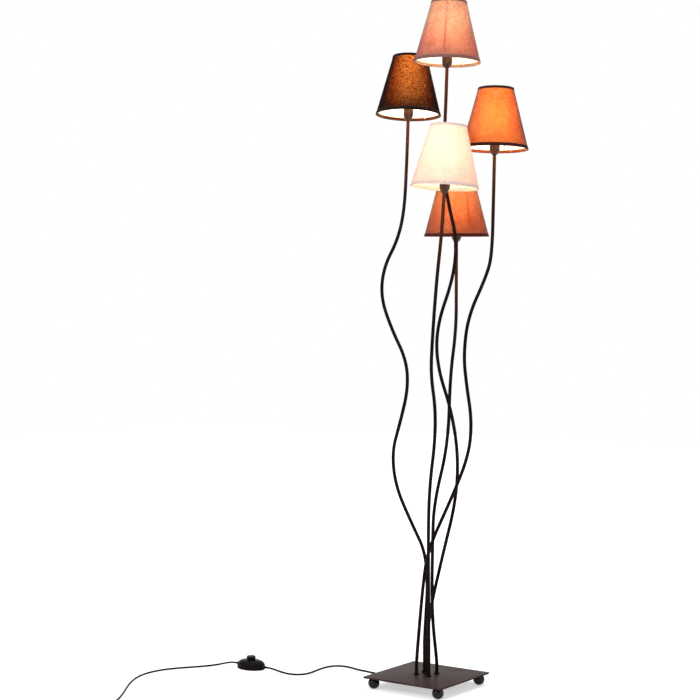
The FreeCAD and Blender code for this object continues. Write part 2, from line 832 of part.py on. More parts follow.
rise = s.cap_shoulder - s.cap_bottom
widening = s.cap_radius - s.cap_neck
bowl_radius = (widening * widening + rise * rise) / (widening * 2)
bowl_inner = bowl_radius - s.cap_wall
inner_rise = rise - s.cap_wall
inner_neck = s.cap_radius - bowl_radius + (bowl_inner * bowl_inner - inner_rise * inner_rise).root()
cap_inner = s.cap_radius - s.cap_wall
stem_bore = s.stem_radius + s.slip
stem_end = s.cap_bottom + s.stem_entry
holder_radius = cap_inner - s.holder_gap
thread_top = flange_top + s.thread_height
base_top = bulb_seat + s.base_height
ball_centre = bulb_seat + s.bulb_length - s.bulb_radius
throat = ball_centre - (s.bulb_radius * s.bulb_radius - s.bulb_throat * s.bulb_throat).root()

shade_slope = (s.shade_bottom - s.shade_top) / s.shade_height
hoop_outer = s.shade_bottom - s.shade_wall - s.hoop_gap - shade_slope * s.hoop_level
hoop_inner = hoop_outer - s.hoop_thick
hoop_top = s.hoop_level + s.hoop_height
hoop_taper = shade_slope * s.hoop_height
spoke_end = hoop_outer - s.hoop_thick / 2 - hoop_taper / 2
spoke_drop = s.hoop_height / 2
SPOKES = 3


def shade_frame(lamp):
    """The hoop in the lower rim, the ring that sits on the holder, and the spokes between."""
    hoop = turned(
        f"hoop_{lamp}",
        [
            (hoop_inner, s.hoop_level),
            (hoop_outer, s.hoop_level),
            (hoop_outer - hoop_taper, hoop_top),
            (hoop_inner - hoop_taper, hoop_top),
        ],
    )
    fitter = turned(
        f"fitter_{lamp}",
        [
            (s.fitter_bore, fitter_bottom),
            (s.fitter_radius, fitter_bottom),
            (s.fitter_radius, fitter_bottom + s.fitter_height),
            (s.fitter_bore, fitter_bottom + s.fitter_height),
        ],
    )
    rise = (fitter_bottom - s.hoop_level - spoke_drop).value
    reach = (spoke_end - s.spoke_start).value
    sink = Rotation(Vector(0, 1, 0), math.degrees(math.atan2(rise, reach)))
    spokes = []
    for number in range(SPOKES):
        spoke = doc.addObject("Part::Box", f"spoke_{number}_{lamp}")
        around = Rotation(Vector(0, 0, 1), 90 + 360 * number / SPOKES)
        corner = Vector(s.spoke_start.value, -s.spoke_width.value / 2, fitter_bottom.value)
        spoke.Placement = Placement(around.multVec(corner), around.multiply(sink))
        bind(spoke, Length=math.hypot(rise, reach), Width=s.spoke_width, Height=s.hoop_thick)
        spokes.append(spoke)
    return fuse(f"shade_frame_{lamp}", hoop, fitter, *spokes)


contacts = []
for lamp in LAMPS:
    place = on_lamp(lamp)
    cap = turned(
        f"holder_cap_{lamp}",
        [
            (stem_bore, s.cap_bottom),
            (s.cap_neck, s.cap_bottom, bowl_radius),
            (s.cap_radius, s.cap_shoulder),
            (s.cap_radius, s.cap_top),
            (cap_inner, s.cap_top),
            (cap_inner, s.cap_shoulder),
            (inner_neck, holder_floor),
            (stem_bore, holder_floor),
        ],
    )
    holder = turned(
        f"holder_{lamp}",
        [
            (stem_bore, holder_floor),
            (s.boss_radius, holder_floor),
            (holder_radius, s.cap_shoulder),
            (holder_radius, s.cap_top),
            (s.flange_radius, s.cap_top),
            (s.flange_radius, flange_top),
            (s.thread_radius, flange_top),
            (s.thread_radius, thread_top),
            (s.socket_radius, thread_top),
            (s.socket_radius, s.socket_floor),
            (s.wire_hole, s.socket_floor),
            (s.wire_hole, stem_end + s.hole_end),
            (stem_bore, stem_end + s.hole_end),
        ],
    )
    ring = turned(
        f"shade_ring_{lamp}",
        [
            (s.thread_radius + s.slip, ring_bottom),
            (s.ring_radius, ring_bottom),
            (s.ring_radius, ring_bottom + s.ring_height - s.ring_bevel),
            (s.ring_radius - s.ring_bevel, ring_bottom + s.ring_height),
            (s.thread_radius + s.slip, ring_bottom + s.ring_height),
        ],
    )
    cover = turned(
        f"shade_cover_{lamp}",
        [
            (s.shade_bottom - s.shade_wall, 0),
            (s.shade_bottom, 0),
            (s.shade_top, s.shade_height),
            (s.shade_top - s.shade_wall, s.shade_height),
        ],
    )
    bulb = turned(
        f"bulb_{lamp}",
        [
            (0, bulb_seat),
            (s.base_tip, bulb_seat),
            (s.base_radius, bulb_seat + s.base_cone),
            (s.base_radius, base_top),
            (s.bulb_neck, base_top),
            (s.bulb_neck, base_top + s.bulb_neck_height),
            (s.bulb_throat, throat, s.bulb_radius),
            (0, ball_centre + s.bulb_radius),
        ],
    )
    contact = doc.addObject("Part::Cylinder", f"contact_{lamp}")
    contact.Placement = place.multiply(Placement(Vector(0, 0, s.socket_floor.value), Rotation()))
    bind(contact, Radius=s.contact_radius, Height=s.contact_height)
    contacts.append(contact)
    named = {
        "holder_cap": cap,
        "holder": holder,
        "shade_ring": ring,
        "shade_cover": cover,
        "shade_frame": shade_frame(lamp),
        "bulb": bulb,
    }
    for name, thing in named.items():
        thing.Placement = place
        keep(f"{name}_{lamp}", thing)
keep("holder_contacts", group("holder_contacts", contacts))

# ---- foot switch -------------------------------------------------------------------------------

switch_x, switch_y = from_plate(s.switch_x, s.switch_y)
dome_top = s.tray_height + s.dome_height
ceiling = dome_top - s.switch_wall


def oval(name, level, inset):
    """An oval outline of the switch, a little inside its foot."""
    return solid(
        "Part::Ellipse",
        name,
        at=(switch_x, switch_y, level),
        MajorRadius=s.switch_long - inset,
        MinorRadius=s.switch_wide - inset,
    )


def oval_block(name, level, inset, height):
    block = doc.addObject("Part::Extrusion", name)
    block.Base = oval(f"{name}_oval", level, inset)
    block.DirMode = "Custom"
    block.Dir = Vector(0, 0, 1)
    block.Solid = True
    bind(block, LengthFwd=height)
    return block


def dome(name, inset, height, ruled):
    """A low dome over the tray, as a loft through four ovals."""
    loft = doc.addObject("Part::Loft", name)
    loft.Sections = [
        oval(f"{name}_0", s.tray_height, inset),
        oval(f"{name}_1", s.tray_height + height * s.dome_low, inset + s.dome_in_low),
        oval(f"{name}_2", s.tray_height + height * s.dome_high, inset + s.dome_in_high),
        oval(f"{name}_3", s.tray_height + height, inset + s.dome_in_top),
    ]
    loft.Solid = True
    loft.Ruled = ruled
    return loft


def stub(end, grow, reach):
    """A tapered sleeve round the lead at one end of the switch: -1 is the left end."""
    name = f"stub_{'left' if end < 0 else 'right'}_{len(doc.Objects)}"
    return solid(
        "Part::Cone",
        name,
        at=(switch_x + (s.switch_long - s.stub_depth) * end, switch_y, s.tray_height),
        turn=Rotation(Vector(0, 1, 0), 90 * end),
        Radius1=s.stub_root + grow,
        Radius2=s.stub_tip + grow,
        Height=s.stub_depth + s.stub_length + reach,
    )


screw_places = [(switch_x, switch_y + s.switch_screw_y * side) for side in (-1, 1)]


def upright(name, radius, level, height):
    return [
        solid("Part::Cylinder", f"{name}_{n}", at=(x, y, level), Radius=radius, Height=height)
        for n, (x, y) in enumerate(screw_places)
    ]


tray = cut(
    "tray_shell",
    oval_block("tray_outside", FLOOR, 0, s.tray_height),
    oval_block("tray_inside", s.switch_wall, s.switch_wall, s.tray_height),
)
tray_with_stubs = fuse(
    "tray_with_stubs",
    tray,
    stub(-1, 0, 0),
    stub(1, 0, 0),
    *upright("tray_post", s.post_radius, s.switch_wall / 2, s.tray_height - s.switch_wall / 2),
)
keep(
    "switch_base",
    cut(
        "switch_base",
        tray_with_stubs,
        *upright("head_recess", s.switch_head_radius + s.slip, FLOOR, s.switch_head_height + s.slip),
        *upright("screw_way", s.switch_screw_radius + s.slip, FLOOR, s.tray_height),
    ),
)
button_hole = solid(
    "Part::Cylinder",
    "button_hole",
    at=(switch_x, switch_y, s.tray_height),
    Radius=s.button_radius + s.button_slack,
    Height=s.dome_height * 2,
)
dome_shell = cut(
    "dome_shell",
    dome("dome_outside", Size(0), s.dome_height, False),
    dome("dome_inside", s.switch_wall, s.dome_height - s.switch_wall, True),
)
dome_with_posts = fuse(
    "dome_with_posts",
    dome_shell,
    *upright("dome_post", s.post_radius, s.tray_height, s.post_height),
)
keep(
    "switch_cover",
    cut(
        "switch_cover",
        dome_with_posts,
        button_hole,
        stub(-1, s.slip, s.slip),
        stub(1, s.slip, s.slip),
        *upright(
            "screw_hole",
            s.switch_screw_radius + s.slip,
            s.tray_height,
            s.switch_screw_length - s.tray_height + s.hole_end,
        ),
    ),
)

flange_top_z = ceiling - s.button_rest
flange_bottom_z = flange_top_z - s.button_flange_height
button_top = dome_top + s.button_height
button = turned(
    "switch_button",
    [
        (s.button_hollow, flange_bottom_z),
        (s.button_flange, flange_bottom_z),
        (s.button_flange, flange_top_z),
        (s.button_radius, flange_top_z),
        (s.button_radius, button_top - s.button_round, s.button_round),
        (s.button_radius - s.button_round, button_top),
        (0, button_top),
        (0, flange_bottom_z + s.button_hollow_depth),
        (s.button_hollow, flange_bottom_z + s.button_hollow_depth),
    ],
)
bind(button, Placement__Base__x=switch_x, Placement__Base__y=switch_y)
keep("switch_button", button)

works_top = s.switch_wall + s.works_height
keep(
    "switch_works",
    padded(
        "switch_works",
        rounded(switch_x, switch_y, s.works_length / 2, s.works_width / 2, s.switch_wall / 2),
        s.switch_wall,
        s.works_height,
    ),
)
spring_top = flange_bottom_z + s.button_hollow_depth - s.slip
spring = turned(
    "switch_spring",
    [
        (s.spring_radius - s.spring_wall, works_top),
        (s.spring_radius, works_top),
        (s.spring_radius, spring_top),
        (s.spring_radius - s.spring_wall, spring_top),
    ],
)
bind(spring, Placement__Base__x=switch_x, Placement__Base__y=switch_y)
keep("switch_spring", spring)

shanks = upright(
    "switch_screw_shank",
    s.switch_screw_radius,
    s.switch_head_height / 2,
    s.switch_screw_length - s.switch_head_height / 2,
)
heads = upright(
    "switch_screw_head",
    s.switch_head_radius,
    s.switch_head_sink,
    s.switch_head_height - s.switch_head_sink,
)
keep(
    "switch_screws",
    group("switch_screws", [fuse(f"switch_screw_{n}", a, b) for n, (a, b) in enumerate(zip(shanks, heads))]),
)

# ---- mains lead, coil and plug -----------------------------------------------------------------

cord_level = s.cord_radius + s.cord_lift
stub_end = s.switch_long + s.stub_length
coil_x, coil_y = from_plate(s.coil_x, s.coil_y)
coil_centre = Vector(coil_x.value, coil_y.value, cord_level.value)


def routed(points):
    """A hand-laid stretch of the lead, in the lamp's own frame."""
    places = []
    for x, y, z in points:
        x, y = from_plate(x, y)
        places.append(Vector(x.value, y.value, z))
    return places


def coil_point(turns):
    """The middle of the lead after so many turns, and its direction there. It winds inwards on
    the floor, climbs in the half turn where the spiral reverses, and winds outwards on top."""
    middle = s.coil_turns.value / 2
    pitch = s.coil_pitch.value
    radius = s.coil_inner.value + pitch * abs(turns - middle)
    angle = math.radians(s.coil_start.value) - 2 * math.pi * turns
    climb = min(max(turns - middle + 0.25, 0), 0.5) * 2
    height = pitch * climb * climb * (3 - 2 * climb)
    slope = pitch * 6 * climb * (1 - climb) * 2
    inward = pitch * (0 if turns == middle else math.copysign(1, turns - middle))
    outward = Vector(math.cos(angle), math.sin(angle), 0)
    onward = Vector(math.sin(angle), -math.cos(angle), 0)
    way = onward * (2 * math.pi * radius) + outward * inward + Vector(0, 0, slope)
    return coil_centre + outward * radius + Vector(0, 0, height), way.normalize()


QUARTERS = int(round(s.coil_turns.value * 4))
marks = [coil_point(number / 4) for number in range(QUARTERS + 1)]
coil_edges = []
first_place, first_way = marks[0]
last_place, last_way = marks[-1]
coil_in = first_place - first_way * 2 * s.cord_radius.value
coil_out = last_place + last_way * s.plug_clear.value
coil_edges.append(Part.LineSegment(coil_in, first_place).toShape())
for (start, start_way), (end, end_way) in zip(marks, marks[1:]):
    coil_edges.extend(biarc(start, start_way, end, end_way))
coil_edges.append(Part.LineSegment(last_place, coil_out).toShape())
coil_path = Part.Wire(coil_edges)


def self_gap(path, radius, neighbours):
    """The least gap between a wound tube's own turns, measured on points along it."""
    points = path.discretize(Number=600)
    step = path.Length / (len(points) - 1)
    skip = int(neighbours / step)
    nearest = min(
        (a - b).Length for i, a in enumerate(points) for b in points[i + skip :]
    )
    return nearest - 2 * radius


print(f"cord_coil: {coil_path.Length:.0f} long, own gap"
      f" {self_gap(coil_path, s.cord_radius.value, 2 * s.coil_inner.value):.2f}")
keep("cord_coil", made("cord_coil", tube(coil_path, s.cord_radius.value, CORD_SIDES)))

grip_end = grip_x - s.grip_flange_thick - s.grip_length
start = Vector(grip_end.value, grip_y.value, s.grip_level.value)
into_switch = Vector((switch_x + stub_end).value, switch_y.value, s.tray_height.value)
out_of_switch = Vector((switch_x - stub_end).value, switch_y.value, s.tray_height.value)
straight = Vector(3 * 2 * s.cord_radius.value, 0, 0)
rising = straight * 1.3
to_switch = bent_path(
    "cord_to_switch",
    [start, start - straight] + routed(CORD_TO_SWITCH) + [into_switch + rising, into_switch],
)
keep("cord_to_switch", made("cord_to_switch", tube(to_switch, s.cord_radius.value, CORD_SIDES)))
to_coil = bent_path(
    "cord_to_coil",
    [out_of_switch, out_of_switch - straight]
    + routed(CORD_TO_COIL)
    + [coil_in - first_way * s.cord_lead.value, coil_in],
)
keep("cord_to_coil", made("cord_to_coil", tube(to_coil, s.cord_radius.value, CORD_SIDES)))

# The plug lies flat at the end of the coil. It is built along +X, with the lead's end at x = 0.
plug_place = Placement(coil_out, Rotation(Vector(0, 0, 1), math.degrees(math.atan2(last_way.y, last_way.x))))
nose = s.sleeve_length + s.plug_length
shoulder = s.sleeve_length + s.plug_length / 3
body = padded(
    "plug_shell",
    [
        (s.sleeve_length, -s.plug_waist / 2),
        (shoulder, -s.plug_width / 2),
        (nose, -s.plug_width / 2),
        (nose, s.plug_width / 2),
        (shoulder, s.plug_width / 2),
        (s.sleeve_length, s.plug_waist / 2),
    ],
    -s.plug_half,
    s.plug_half * 2,
)
doc.recompute()
blank = body.Tip
bevel = body.newObject("PartDesign::Chamfer", "plug_bevels")
bevel.Base = (blank, [f"Edge{n}" for n in range(1, len(blank.Shape.Edges) + 1)])
bind(bevel, Size=s.plug_bevel)
sleeve = solid(
    "Part::Cone",
    "plug_sleeve",
    turn=Rotation(Vector(0, 1, 0), 90),
    Radius1=s.sleeve_tip,
    Radius2=s.sleeve_root,
    Height=s.sleeve_length + s.plug_bevel,
)


def pins(name, grow, end):
    return [
        solid(
            "Part::Cylinder",
            f"{name}_{side}",
            at=(nose - s.pin_root, s.pin_pitch / 2 * side, 0),
            turn=Rotation(Vector(0, 1, 0), 90),
            Radius=s.pin_radius + grow,
            Height=s.pin_root + end,
        )
        for side in (-1, 1)
    ]


plug = cut("plug_body", fuse("plug_with_sleeve", body, sleeve), *pins("pin_hole", s.slip, s.plug_bevel))
plug.Placement = plug_place
keep("plug_body", plug)
plug_pins = group("plug_pins", pins("pin", Size(0), s.pin_length))
plug_pins.Placement = plug_place
keep("plug_pins", plug_pins)

lead_length = to_switch.Length + to_coil.Length + coil_path.Length
print(f"mains lead: {lead_length:.0f} in all")

# ---- check and write ---------------------------------------------------------------------------

doc.recompute()
broken = [o.Name for o in doc.Objects if {"Invalid", "Error"} & set(o.State)]
if broken:
    raise ValueError(f"these objects failed: {broken}")
for name, thing in nodes.items():
    if thing.Shape.isNull() or not thing.Shape.isValid() or not thing.Shape.Solids:
        raise ValueError(f"{name} has no valid solid")

os.makedirs("parts", exist_ok=True)
for name, thing in nodes.items():
    thing.Shape.exportStep(os.path.join("parts", f"{name}.step"))
print(f"{len(nodes)} sub-parts written")
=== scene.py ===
import math
import bpy
from mathutils import Matrix, Vector


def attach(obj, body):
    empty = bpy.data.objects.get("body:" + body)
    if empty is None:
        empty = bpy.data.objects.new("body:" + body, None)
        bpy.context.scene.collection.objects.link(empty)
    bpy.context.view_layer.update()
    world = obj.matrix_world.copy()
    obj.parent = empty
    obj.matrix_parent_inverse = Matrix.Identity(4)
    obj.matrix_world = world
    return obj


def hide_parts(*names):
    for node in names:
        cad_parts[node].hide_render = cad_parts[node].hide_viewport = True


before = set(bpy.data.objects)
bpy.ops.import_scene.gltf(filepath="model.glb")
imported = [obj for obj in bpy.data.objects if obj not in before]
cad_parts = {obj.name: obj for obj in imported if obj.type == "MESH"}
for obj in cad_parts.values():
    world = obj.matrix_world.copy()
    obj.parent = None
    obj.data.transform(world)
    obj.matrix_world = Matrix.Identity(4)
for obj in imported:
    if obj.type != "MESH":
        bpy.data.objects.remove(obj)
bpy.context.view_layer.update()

# ---- camera --------------------------------------------------------------------------------------
# It stands where the photographer stood: about 3.7 m off, at chest height, square to none of the
# plate's edges. The long lens keeps the five stems nearly upright.
eye = bpy.data.cameras.new("camera")
eye.lens = 82.73
eye.sensor_width = 36
camera = bpy.data.objects.new("camera", eye)
bpy.context.scene.collection.objects.link(camera)
camera.location = (2.0218, -3.1483, 0.8523)
camera.rotation_euler = (math.radians(90 - 1.075), 0, math.radians(36))
bpy.context.scene.camera = camera

# ---- base plate ----------------------------------------------------------------------------------
# A square of 4 mm steel sheet, drilled for the stems and the feet, its corners and edges broken.
# It is powder-coated in a satin dark brown, which leaves a fine orange-peel skin.
PLATE_CENTRE = Vector((-0.023, -0.031, 0))
PLATE_SIDE = 0.212
PLATE_BOTTOM = 0.0245
PLATE_TOP = 0.0285
PLATE_CORNER = 0.0025
MILLIMETRE = 0.001


def linear(colour):
    """An sRGB hex colour as Blender's linear red, green, blue and alpha."""
    parts = [int(colour[n : n + 2], 16) / 255 for n in (1, 3, 5)]
    return (*(p / 12.92 if p <= 0.04045 else ((p + 0.055) / 1.055) ** 2.4 for p in parts), 1)


def add_node(tree, kind, inputs=None, stops=(), **settings):
    """Adds a node: its settings, a ramp's stops, and its inputs from values or other nodes."""
    node = tree.nodes.new(kind)
    for name, value in settings.items():
        setattr(node, name, value)
    for name, value in (inputs or {}).items():
        if isinstance(value, bpy.types.NodeSocket):
            tree.links.new(value, node.inputs[name])
        else:
            node.inputs[name].default_value = value
    for number, (position, colour) in enumerate(stops):
        if number > 1:
            node.color_ramp.elements.new(position)
        node.color_ramp.elements[number].position = position
        node.color_ramp.elements[number].color = linear(colour)
    return node


def new_material(name, roughness, metallic=0.0, **sockets):
    """A material with its shader's constants set. Gives its nodes, its shader and its places."""
    material = bpy.data.materials.new(name)
    material.use_nodes = True
    tree = material.node_tree
    shader = tree.nodes["Principled BSDF"]
    shader.inputs["Roughness"].default_value = roughness
    shader.inputs["Metallic"].default_value = metallic
    for socket, value in sockets.items():
        shader.inputs[socket.replace("_", " ")].default_value = value
    return material, tree, shader, add_node(tree, "ShaderNodeTexCoord").outputs["Object"]


def coating(name, dark, light, patch, dull, skin, depth, metallic=0.0, **sockets):
    """A coat, moulding or plating: its colour and gloss drift in patches so many metres wide, and
    its skin is uneven. dull is the roughness from and to; skin and depth are the skin's grain."""
    material, tree, shader, place = new_material(name, dull[0], metallic, **sockets)
    drift = add_node(
        tree, "ShaderNodeTexNoise", {"Vector": place, "Scale": 1 / patch, "Detail": 4}
    ).outputs["Fac"]
    tint = add_node(
        tree, "ShaderNodeValToRGB", {"Fac": drift}, stops=[(0.32, dark), (0.68, light)]
    )
    tree.links.new(tint.outputs["Color"], shader.inputs["Base Color"])
    gloss = add_node(
        tree,
        "ShaderNodeMapRange",
        {"Value": drift, "From Min": 0.3, "From Max": 0.7, "To Min": dull[0], "To Max": dull[1]},
    )
    tree.links.new(gloss.outputs["Result"], shader.inputs["Roughness"])
    grain = add_node(
        tree, "ShaderNodeTexNoise", {"Vector": place, "Scale": 1 / skin, "Detail": 2}
    ).outputs["Fac"]
    relief = add_node(tree, "ShaderNodeBump", {"Height": grain, "Distance": depth})
    tree.links.new(relief.outputs["Normal"], shader.inputs["Normal"])
    return material


# Satin powder coat: a dark brown skin with a slight orange peel. The peel is drawn 1.2 mm wide,
# a little coarser than it is, so that it shows; the broad patches are handling marks.
plate_coat = coating(
    "satin_powder_coat_plate", "#3c2f2d", "#483a38", 0.06, (0.3, 0.42), 0.0012, 0.00003,
    Specular_IOR_Level=0.015,
)


def begin(name, add, **sizes):
    """Adds a primitive with nothing else selected, and opens it for editing."""
    if bpy.context.mode != "OBJECT":
        bpy.ops.object.mode_set(mode="OBJECT")
    bpy.ops.object.select_all(action="DESELECT")
    add(**sizes)
    piece = bpy.context.object
    piece.name = name
    bpy.ops.object.mode_set(mode="EDIT")
    bpy.ops.mesh.select_all(action="SELECT")
    return piece


def finished(piece, angle=35):
    """Closes the editing: the place goes into the mesh, and gentle edges are smoothed."""
    if bpy.context.mode != "OBJECT":
        bpy.ops.object.mode_set(mode="OBJECT")
    bpy.ops.object.select_all(action="DESELECT")
    piece.select_set(True)
    bpy.context.view_layer.objects.active = piece
    for modifier in list(piece.modifiers):
        bpy.ops.object.modifier_apply(modifier=modifier.name)
    bpy.ops.object.transform_apply(location=True, rotation=True, scale=True)
    bpy.ops.object.shade_smooth_by_angle(angle=math.radians(angle))
    return piece


def bevelled(piece, width, segments=3, angle=30):
    """A modifier that rounds every edge sharper than an angle."""
    modifier = piece.modifiers.new("broken_edges", "BEVEL")
    modifier.width = width
    modifier.segments = segments
    modifier.limit_method = "ANGLE"
    modifier.angle_limit = math.radians(angle)


def fit(piece, material, body, slot, *nodes):
    """Gives a finished piece its material and its place in the part."""
    piece.data.materials.clear()
    piece.data.materials.append(material)
    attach(piece, body)
    if nodes:
        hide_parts(*nodes)


plate = begin(
    "plate",
    bpy.ops.mesh.primitive_cube_add,
    size=1,
    location=PLATE_CENTRE + Vector((0, 0, (PLATE_BOTTOM + PLATE_TOP) / 2)),
    scale=(PLATE_SIDE, PLATE_SIDE, PLATE_TOP - PLATE_BOTTOM),
)
bpy.ops.object.mode_set(mode="OBJECT")
bpy.ops.object.transform_apply(location=True, rotation=True, scale=True)
bpy.ops.object.mode_set(mode="EDIT")
bpy.ops.mesh.select_mode(type="EDGE")
bpy.ops.mesh.select_all(action="DESELECT")
bpy.ops.object.mode_set(mode="OBJECT")
for edge in plate.data.edges:
    low, high = (plate.data.vertices[n].co for n in edge.vertices)
    edge.select = abs(low.z - high.z) > 0.001
bpy.ops.object.mode_set(mode="EDIT")
bpy.ops.mesh.bevel(offset=PLATE_CORNER, segments=6)
bpy.ops.object.mode_set(mode="OBJECT")
bevelled(plate, 0.35 * MILLIMETRE, 3, 60)
finished(plate)
fit(plate, plate_coat, "stand", "satin_paint", "base_plate")

# ---- ball feet -----------------------------------------------------------------------------------
# Four turned or moulded balls, 27 mm across, of glossy black plastic with a faint parting line.
# Each is cut flat where it stands and where it meets the plate, and is screwed on with a stud.
FOOT_REACH = 0.088
FOOT_RADIUS = 0.0135
FOOT_LIFT = 0.0129

# Moulded black plastic with a high polish: nearly black, with soft scuffs that dull the gloss.
gloss_black = coating(
    "polished_black_abs", "#040404", "#0a0909", 0.005, (0.04, 0.12), 0.0015, 0.00001,
    Specular_IOR_Level=0.22,
)


def choose(piece, wanted):
    """Selects the points whose place is wanted, and opens the piece for editing."""
    if bpy.context.mode != "OBJECT":
        bpy.ops.object.mode_set(mode="OBJECT")
    bpy.ops.object.select_all(action="DESELECT")
    piece.select_set(True)
    bpy.context.view_layer.objects.active = piece
    bpy.ops.object.mode_set(mode="EDIT")
    bpy.ops.mesh.select_mode(type="VERT")
    bpy.ops.mesh.select_all(action="DESELECT")
    bpy.ops.object.mode_set(mode="OBJECT")
    for vertex in piece.data.vertices:
        vertex.select = wanted(vertex.co)
    bpy.ops.object.mode_set(mode="EDIT")


def copied(piece, name, move=None):
    """A copy with its own mesh, moved to its place."""
    other = piece.copy()
    other.data = piece.data.copy()
    other.name = name
    bpy.context.collection.objects.link(other)
    if move is not None:
        other.data.transform(move)
    return other


foot = begin(
    "foot_pattern",
    bpy.ops.mesh.primitive_uv_sphere_add,
    segments=48,
    ring_count=32,
    radius=FOOT_RADIUS,
    location=(0, 0, FOOT_LIFT),
)
bpy.ops.mesh.bisect(
    plane_co=(0, 0, PLATE_BOTTOM), plane_no=(0, 0, 1), use_fill=True, clear_outer=True
)
bpy.ops.mesh.select_all(action="SELECT")
bpy.ops.mesh.bisect(plane_co=(0, 0, 0.0003), plane_no=(0, 0, -1), use_fill=True, clear_outer=True)
bpy.ops.object.mode_set(mode="OBJECT")
bpy.ops.object.transform_apply(location=True, rotation=True, scale=True)
# The parting line is a shallow groove round the middle.
choose(foot, lambda place: abs(place.z - FOOT_LIFT) < 0.0002)
bpy.ops.transform.resize(value=(0.988, 0.988, 1), center_override=(0, 0, FOOT_LIFT))
bpy.ops.object.mode_set(mode="OBJECT")
bevelled(foot, 0.25 * MILLIMETRE, 2, 25)
finished(foot, 25)
for corner, (across, along) in {
    "left": (-1, -1),
    "front": (1, -1),
    "right": (1, 1),
    "back": (-1, 1),
}.items():
    place = PLATE_CENTRE + Vector((across * FOOT_REACH, along * FOOT_REACH, 0))
    ball = copied(foot, f"foot_{corner}", Matrix.Translation(place))
    fit(ball, gloss_black, "stand", "black_gloss", f"ball_foot_{corner}")
bpy.data.objects.remove(foot)


def dress(material, *nodes):
    """Gives CAD nodes whose shape is right their finish."""
    for name in nodes:
        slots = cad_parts[name].data.materials
        slots.clear()
        slots.append(material)


# Zinc plating: a pale blue-grey metal, a little cloudy, on studs, nuts, screws and the spring.
zinc = coating(
    "zinc_plated_steel", "#a9adb2", "#c6c9cc", 0.002, (0.25, 0.5), 0.0006, 0.00001, 1.0
)
dress(zinc, "foot_studs", "stem_nuts", "wiring_box_screws", "switch_screws", "switch_spring")

# ---- wiring box ----------------------------------------------------------------------------------
# A shallow pressed-steel tray under the plate, screwed on through its rim. A terminal block inside
# joins the lamps' leads to the mains lead. It is hidden from every ordinary view.
dress(plate_coat, "wiring_box")

# Moulded polyamide: cream, faintly mottled, with a dull skin.
polyamide = coating(
    "cream_polyamide", "#cfc9b8", "#e0dccf", 0.004, (0.45, 0.6), 0.0008, 0.00002
)
dress(polyamide, "terminal_block", "switch_works")

# The leads' PVC sheath: white and smooth, with a slight draw.
sheath = coating("white_pvc_sheath", "#dcdad3", "#ebe9e3", 0.008, (0.35, 0.5), 0.0015, 0.00003)
dress(sheath, "inner_leads")

# ---- bent stems ----------------------------------------------------------------------------------
# Five steel tubes of 8 mm, bent by hand into soft waves, and powder-coated nearly black. Each
# stands in a hole of the plate, held by a nut below and a collar above, and carries one lamp.
STEM_RADIUS = 0.004
STEM_BOTTOM = 0.0169
HOLE_PITCH = 0.017
NECK_RUN = 0.110
STEM_INTO_CAP = -0.0042
LAMPLIT_RUN = 0.3
# Each lamp: the middle of its shade's lower rim, and how many degrees it leans towards +X and +Y.
LAMPS = {
    "top": ((0.010, 0.003, 1.448), (1.5, 1.0)),
    "left": ((-0.115, 0.028, 1.338), (-0.5, 4.0)),
    "right": ((0.115, 0.041, 1.244), (0.5, 1.5)),
    "front": ((0.072, -0.104, 1.149), (2.5, 3.0)),
    "lower": ((-0.027, 0.103, 1.051), (1.5, -2.0)),
}
# Where each stem stands in the plate, and the height at which its first bend begins.
STEM_FEET = {
    "top": (0, 0, 0.090),
    "left": (-1, 1, 0.110),
    "right": (-1, -1, 0.060),
    "front": (1, -1, 0.130),
    "lower": (1, 1, 0.060),
}
# The bends: millimetres from the plate's middle, and thousandths of the lamp's own height.
STEM_BENDS = {
    "top": [
        (5, 3, 117), (29, 25, 214), (50, 47, 297), (53, 53, 369), (40, 44, 442), (12, 24, 515),
        (12, 23, 579), (44, 45, 656), (50, 50, 718), (33, 36, 780), (24, 30, 839),
    ],
    "left": [
        (-10, 25, 218), (-47, 0, 288), (-75, -19, 348), (-82, -23, 407), (-68, -11, 456),
        (-53, 1, 516), (-58, 1, 567), (-89, -13, 619), (-115, -22, 676), (-113, -13, 729),
        (-91, 13, 777), (-86, 34, 830),
    ],
    "right": [
        (-3, -13, 185), (8, -8, 257), (53, 24, 354), (86, 46, 434), (92, 49, 498),
        (82, 42, 563), (76, 38, 619), (85, 43, 691), (119, 66, 764), (131, 73, 804),
    ],
    "front": [
        (17, -20, 331), (22, -20, 418), (34, -18, 496), (40, -25, 566), (39, -43, 631),
        (50, -55, 696), (69, -66, 818),
    ],
    "lower": [
        (3, 17, 162), (1, 23, 314), (-1, 32, 404), (16, 67, 533), (9, 86, 685), (12, 108, 790),
    ],
}

# Satin powder coat over tube: near-black brown with a broad soft highlight. The orange peel is
# drawn 1 mm wide, coarser than real, so that it shows.
stem_coat = coating(
    "satin_powder_coat_stem", "#150e0d", "#201614", 0.035, (0.34, 0.48), 0.001, 0.00001,
    Specular_IOR_Level=0.02,
)
# Painted lamplight: over the last 30 cm below each lamp a warm brown is added to the coat's colour,
# standing in for the bulb's light on the stem.
tree = stem_coat.node_tree
lamplight = add_node(tree, "ShaderNodeAttribute", attribute_name="near_lamp").outputs["Fac"]
painted_lamplight_tint = add_node(
    tree,
    "ShaderNodeValToRGB",
    {"Fac": lamplight},
    stops=[(0.0, "#000000"), (0.35, "#180a04"), (0.65, "#40200f"), (1.0, "#542b14")],
)
coat_with_painted_lamplight = add_node(
    tree,
    "ShaderNodeVectorMath",
    {0: tree.nodes["Color Ramp"].outputs["Color"], 1: painted_lamplight_tint.outputs["Color"]},
    operation="ADD",
)
tree.links.new(coat_with_painted_lamplight.outputs["Vector"], tree.nodes["Principled BSDF"].inputs["Base Color"])


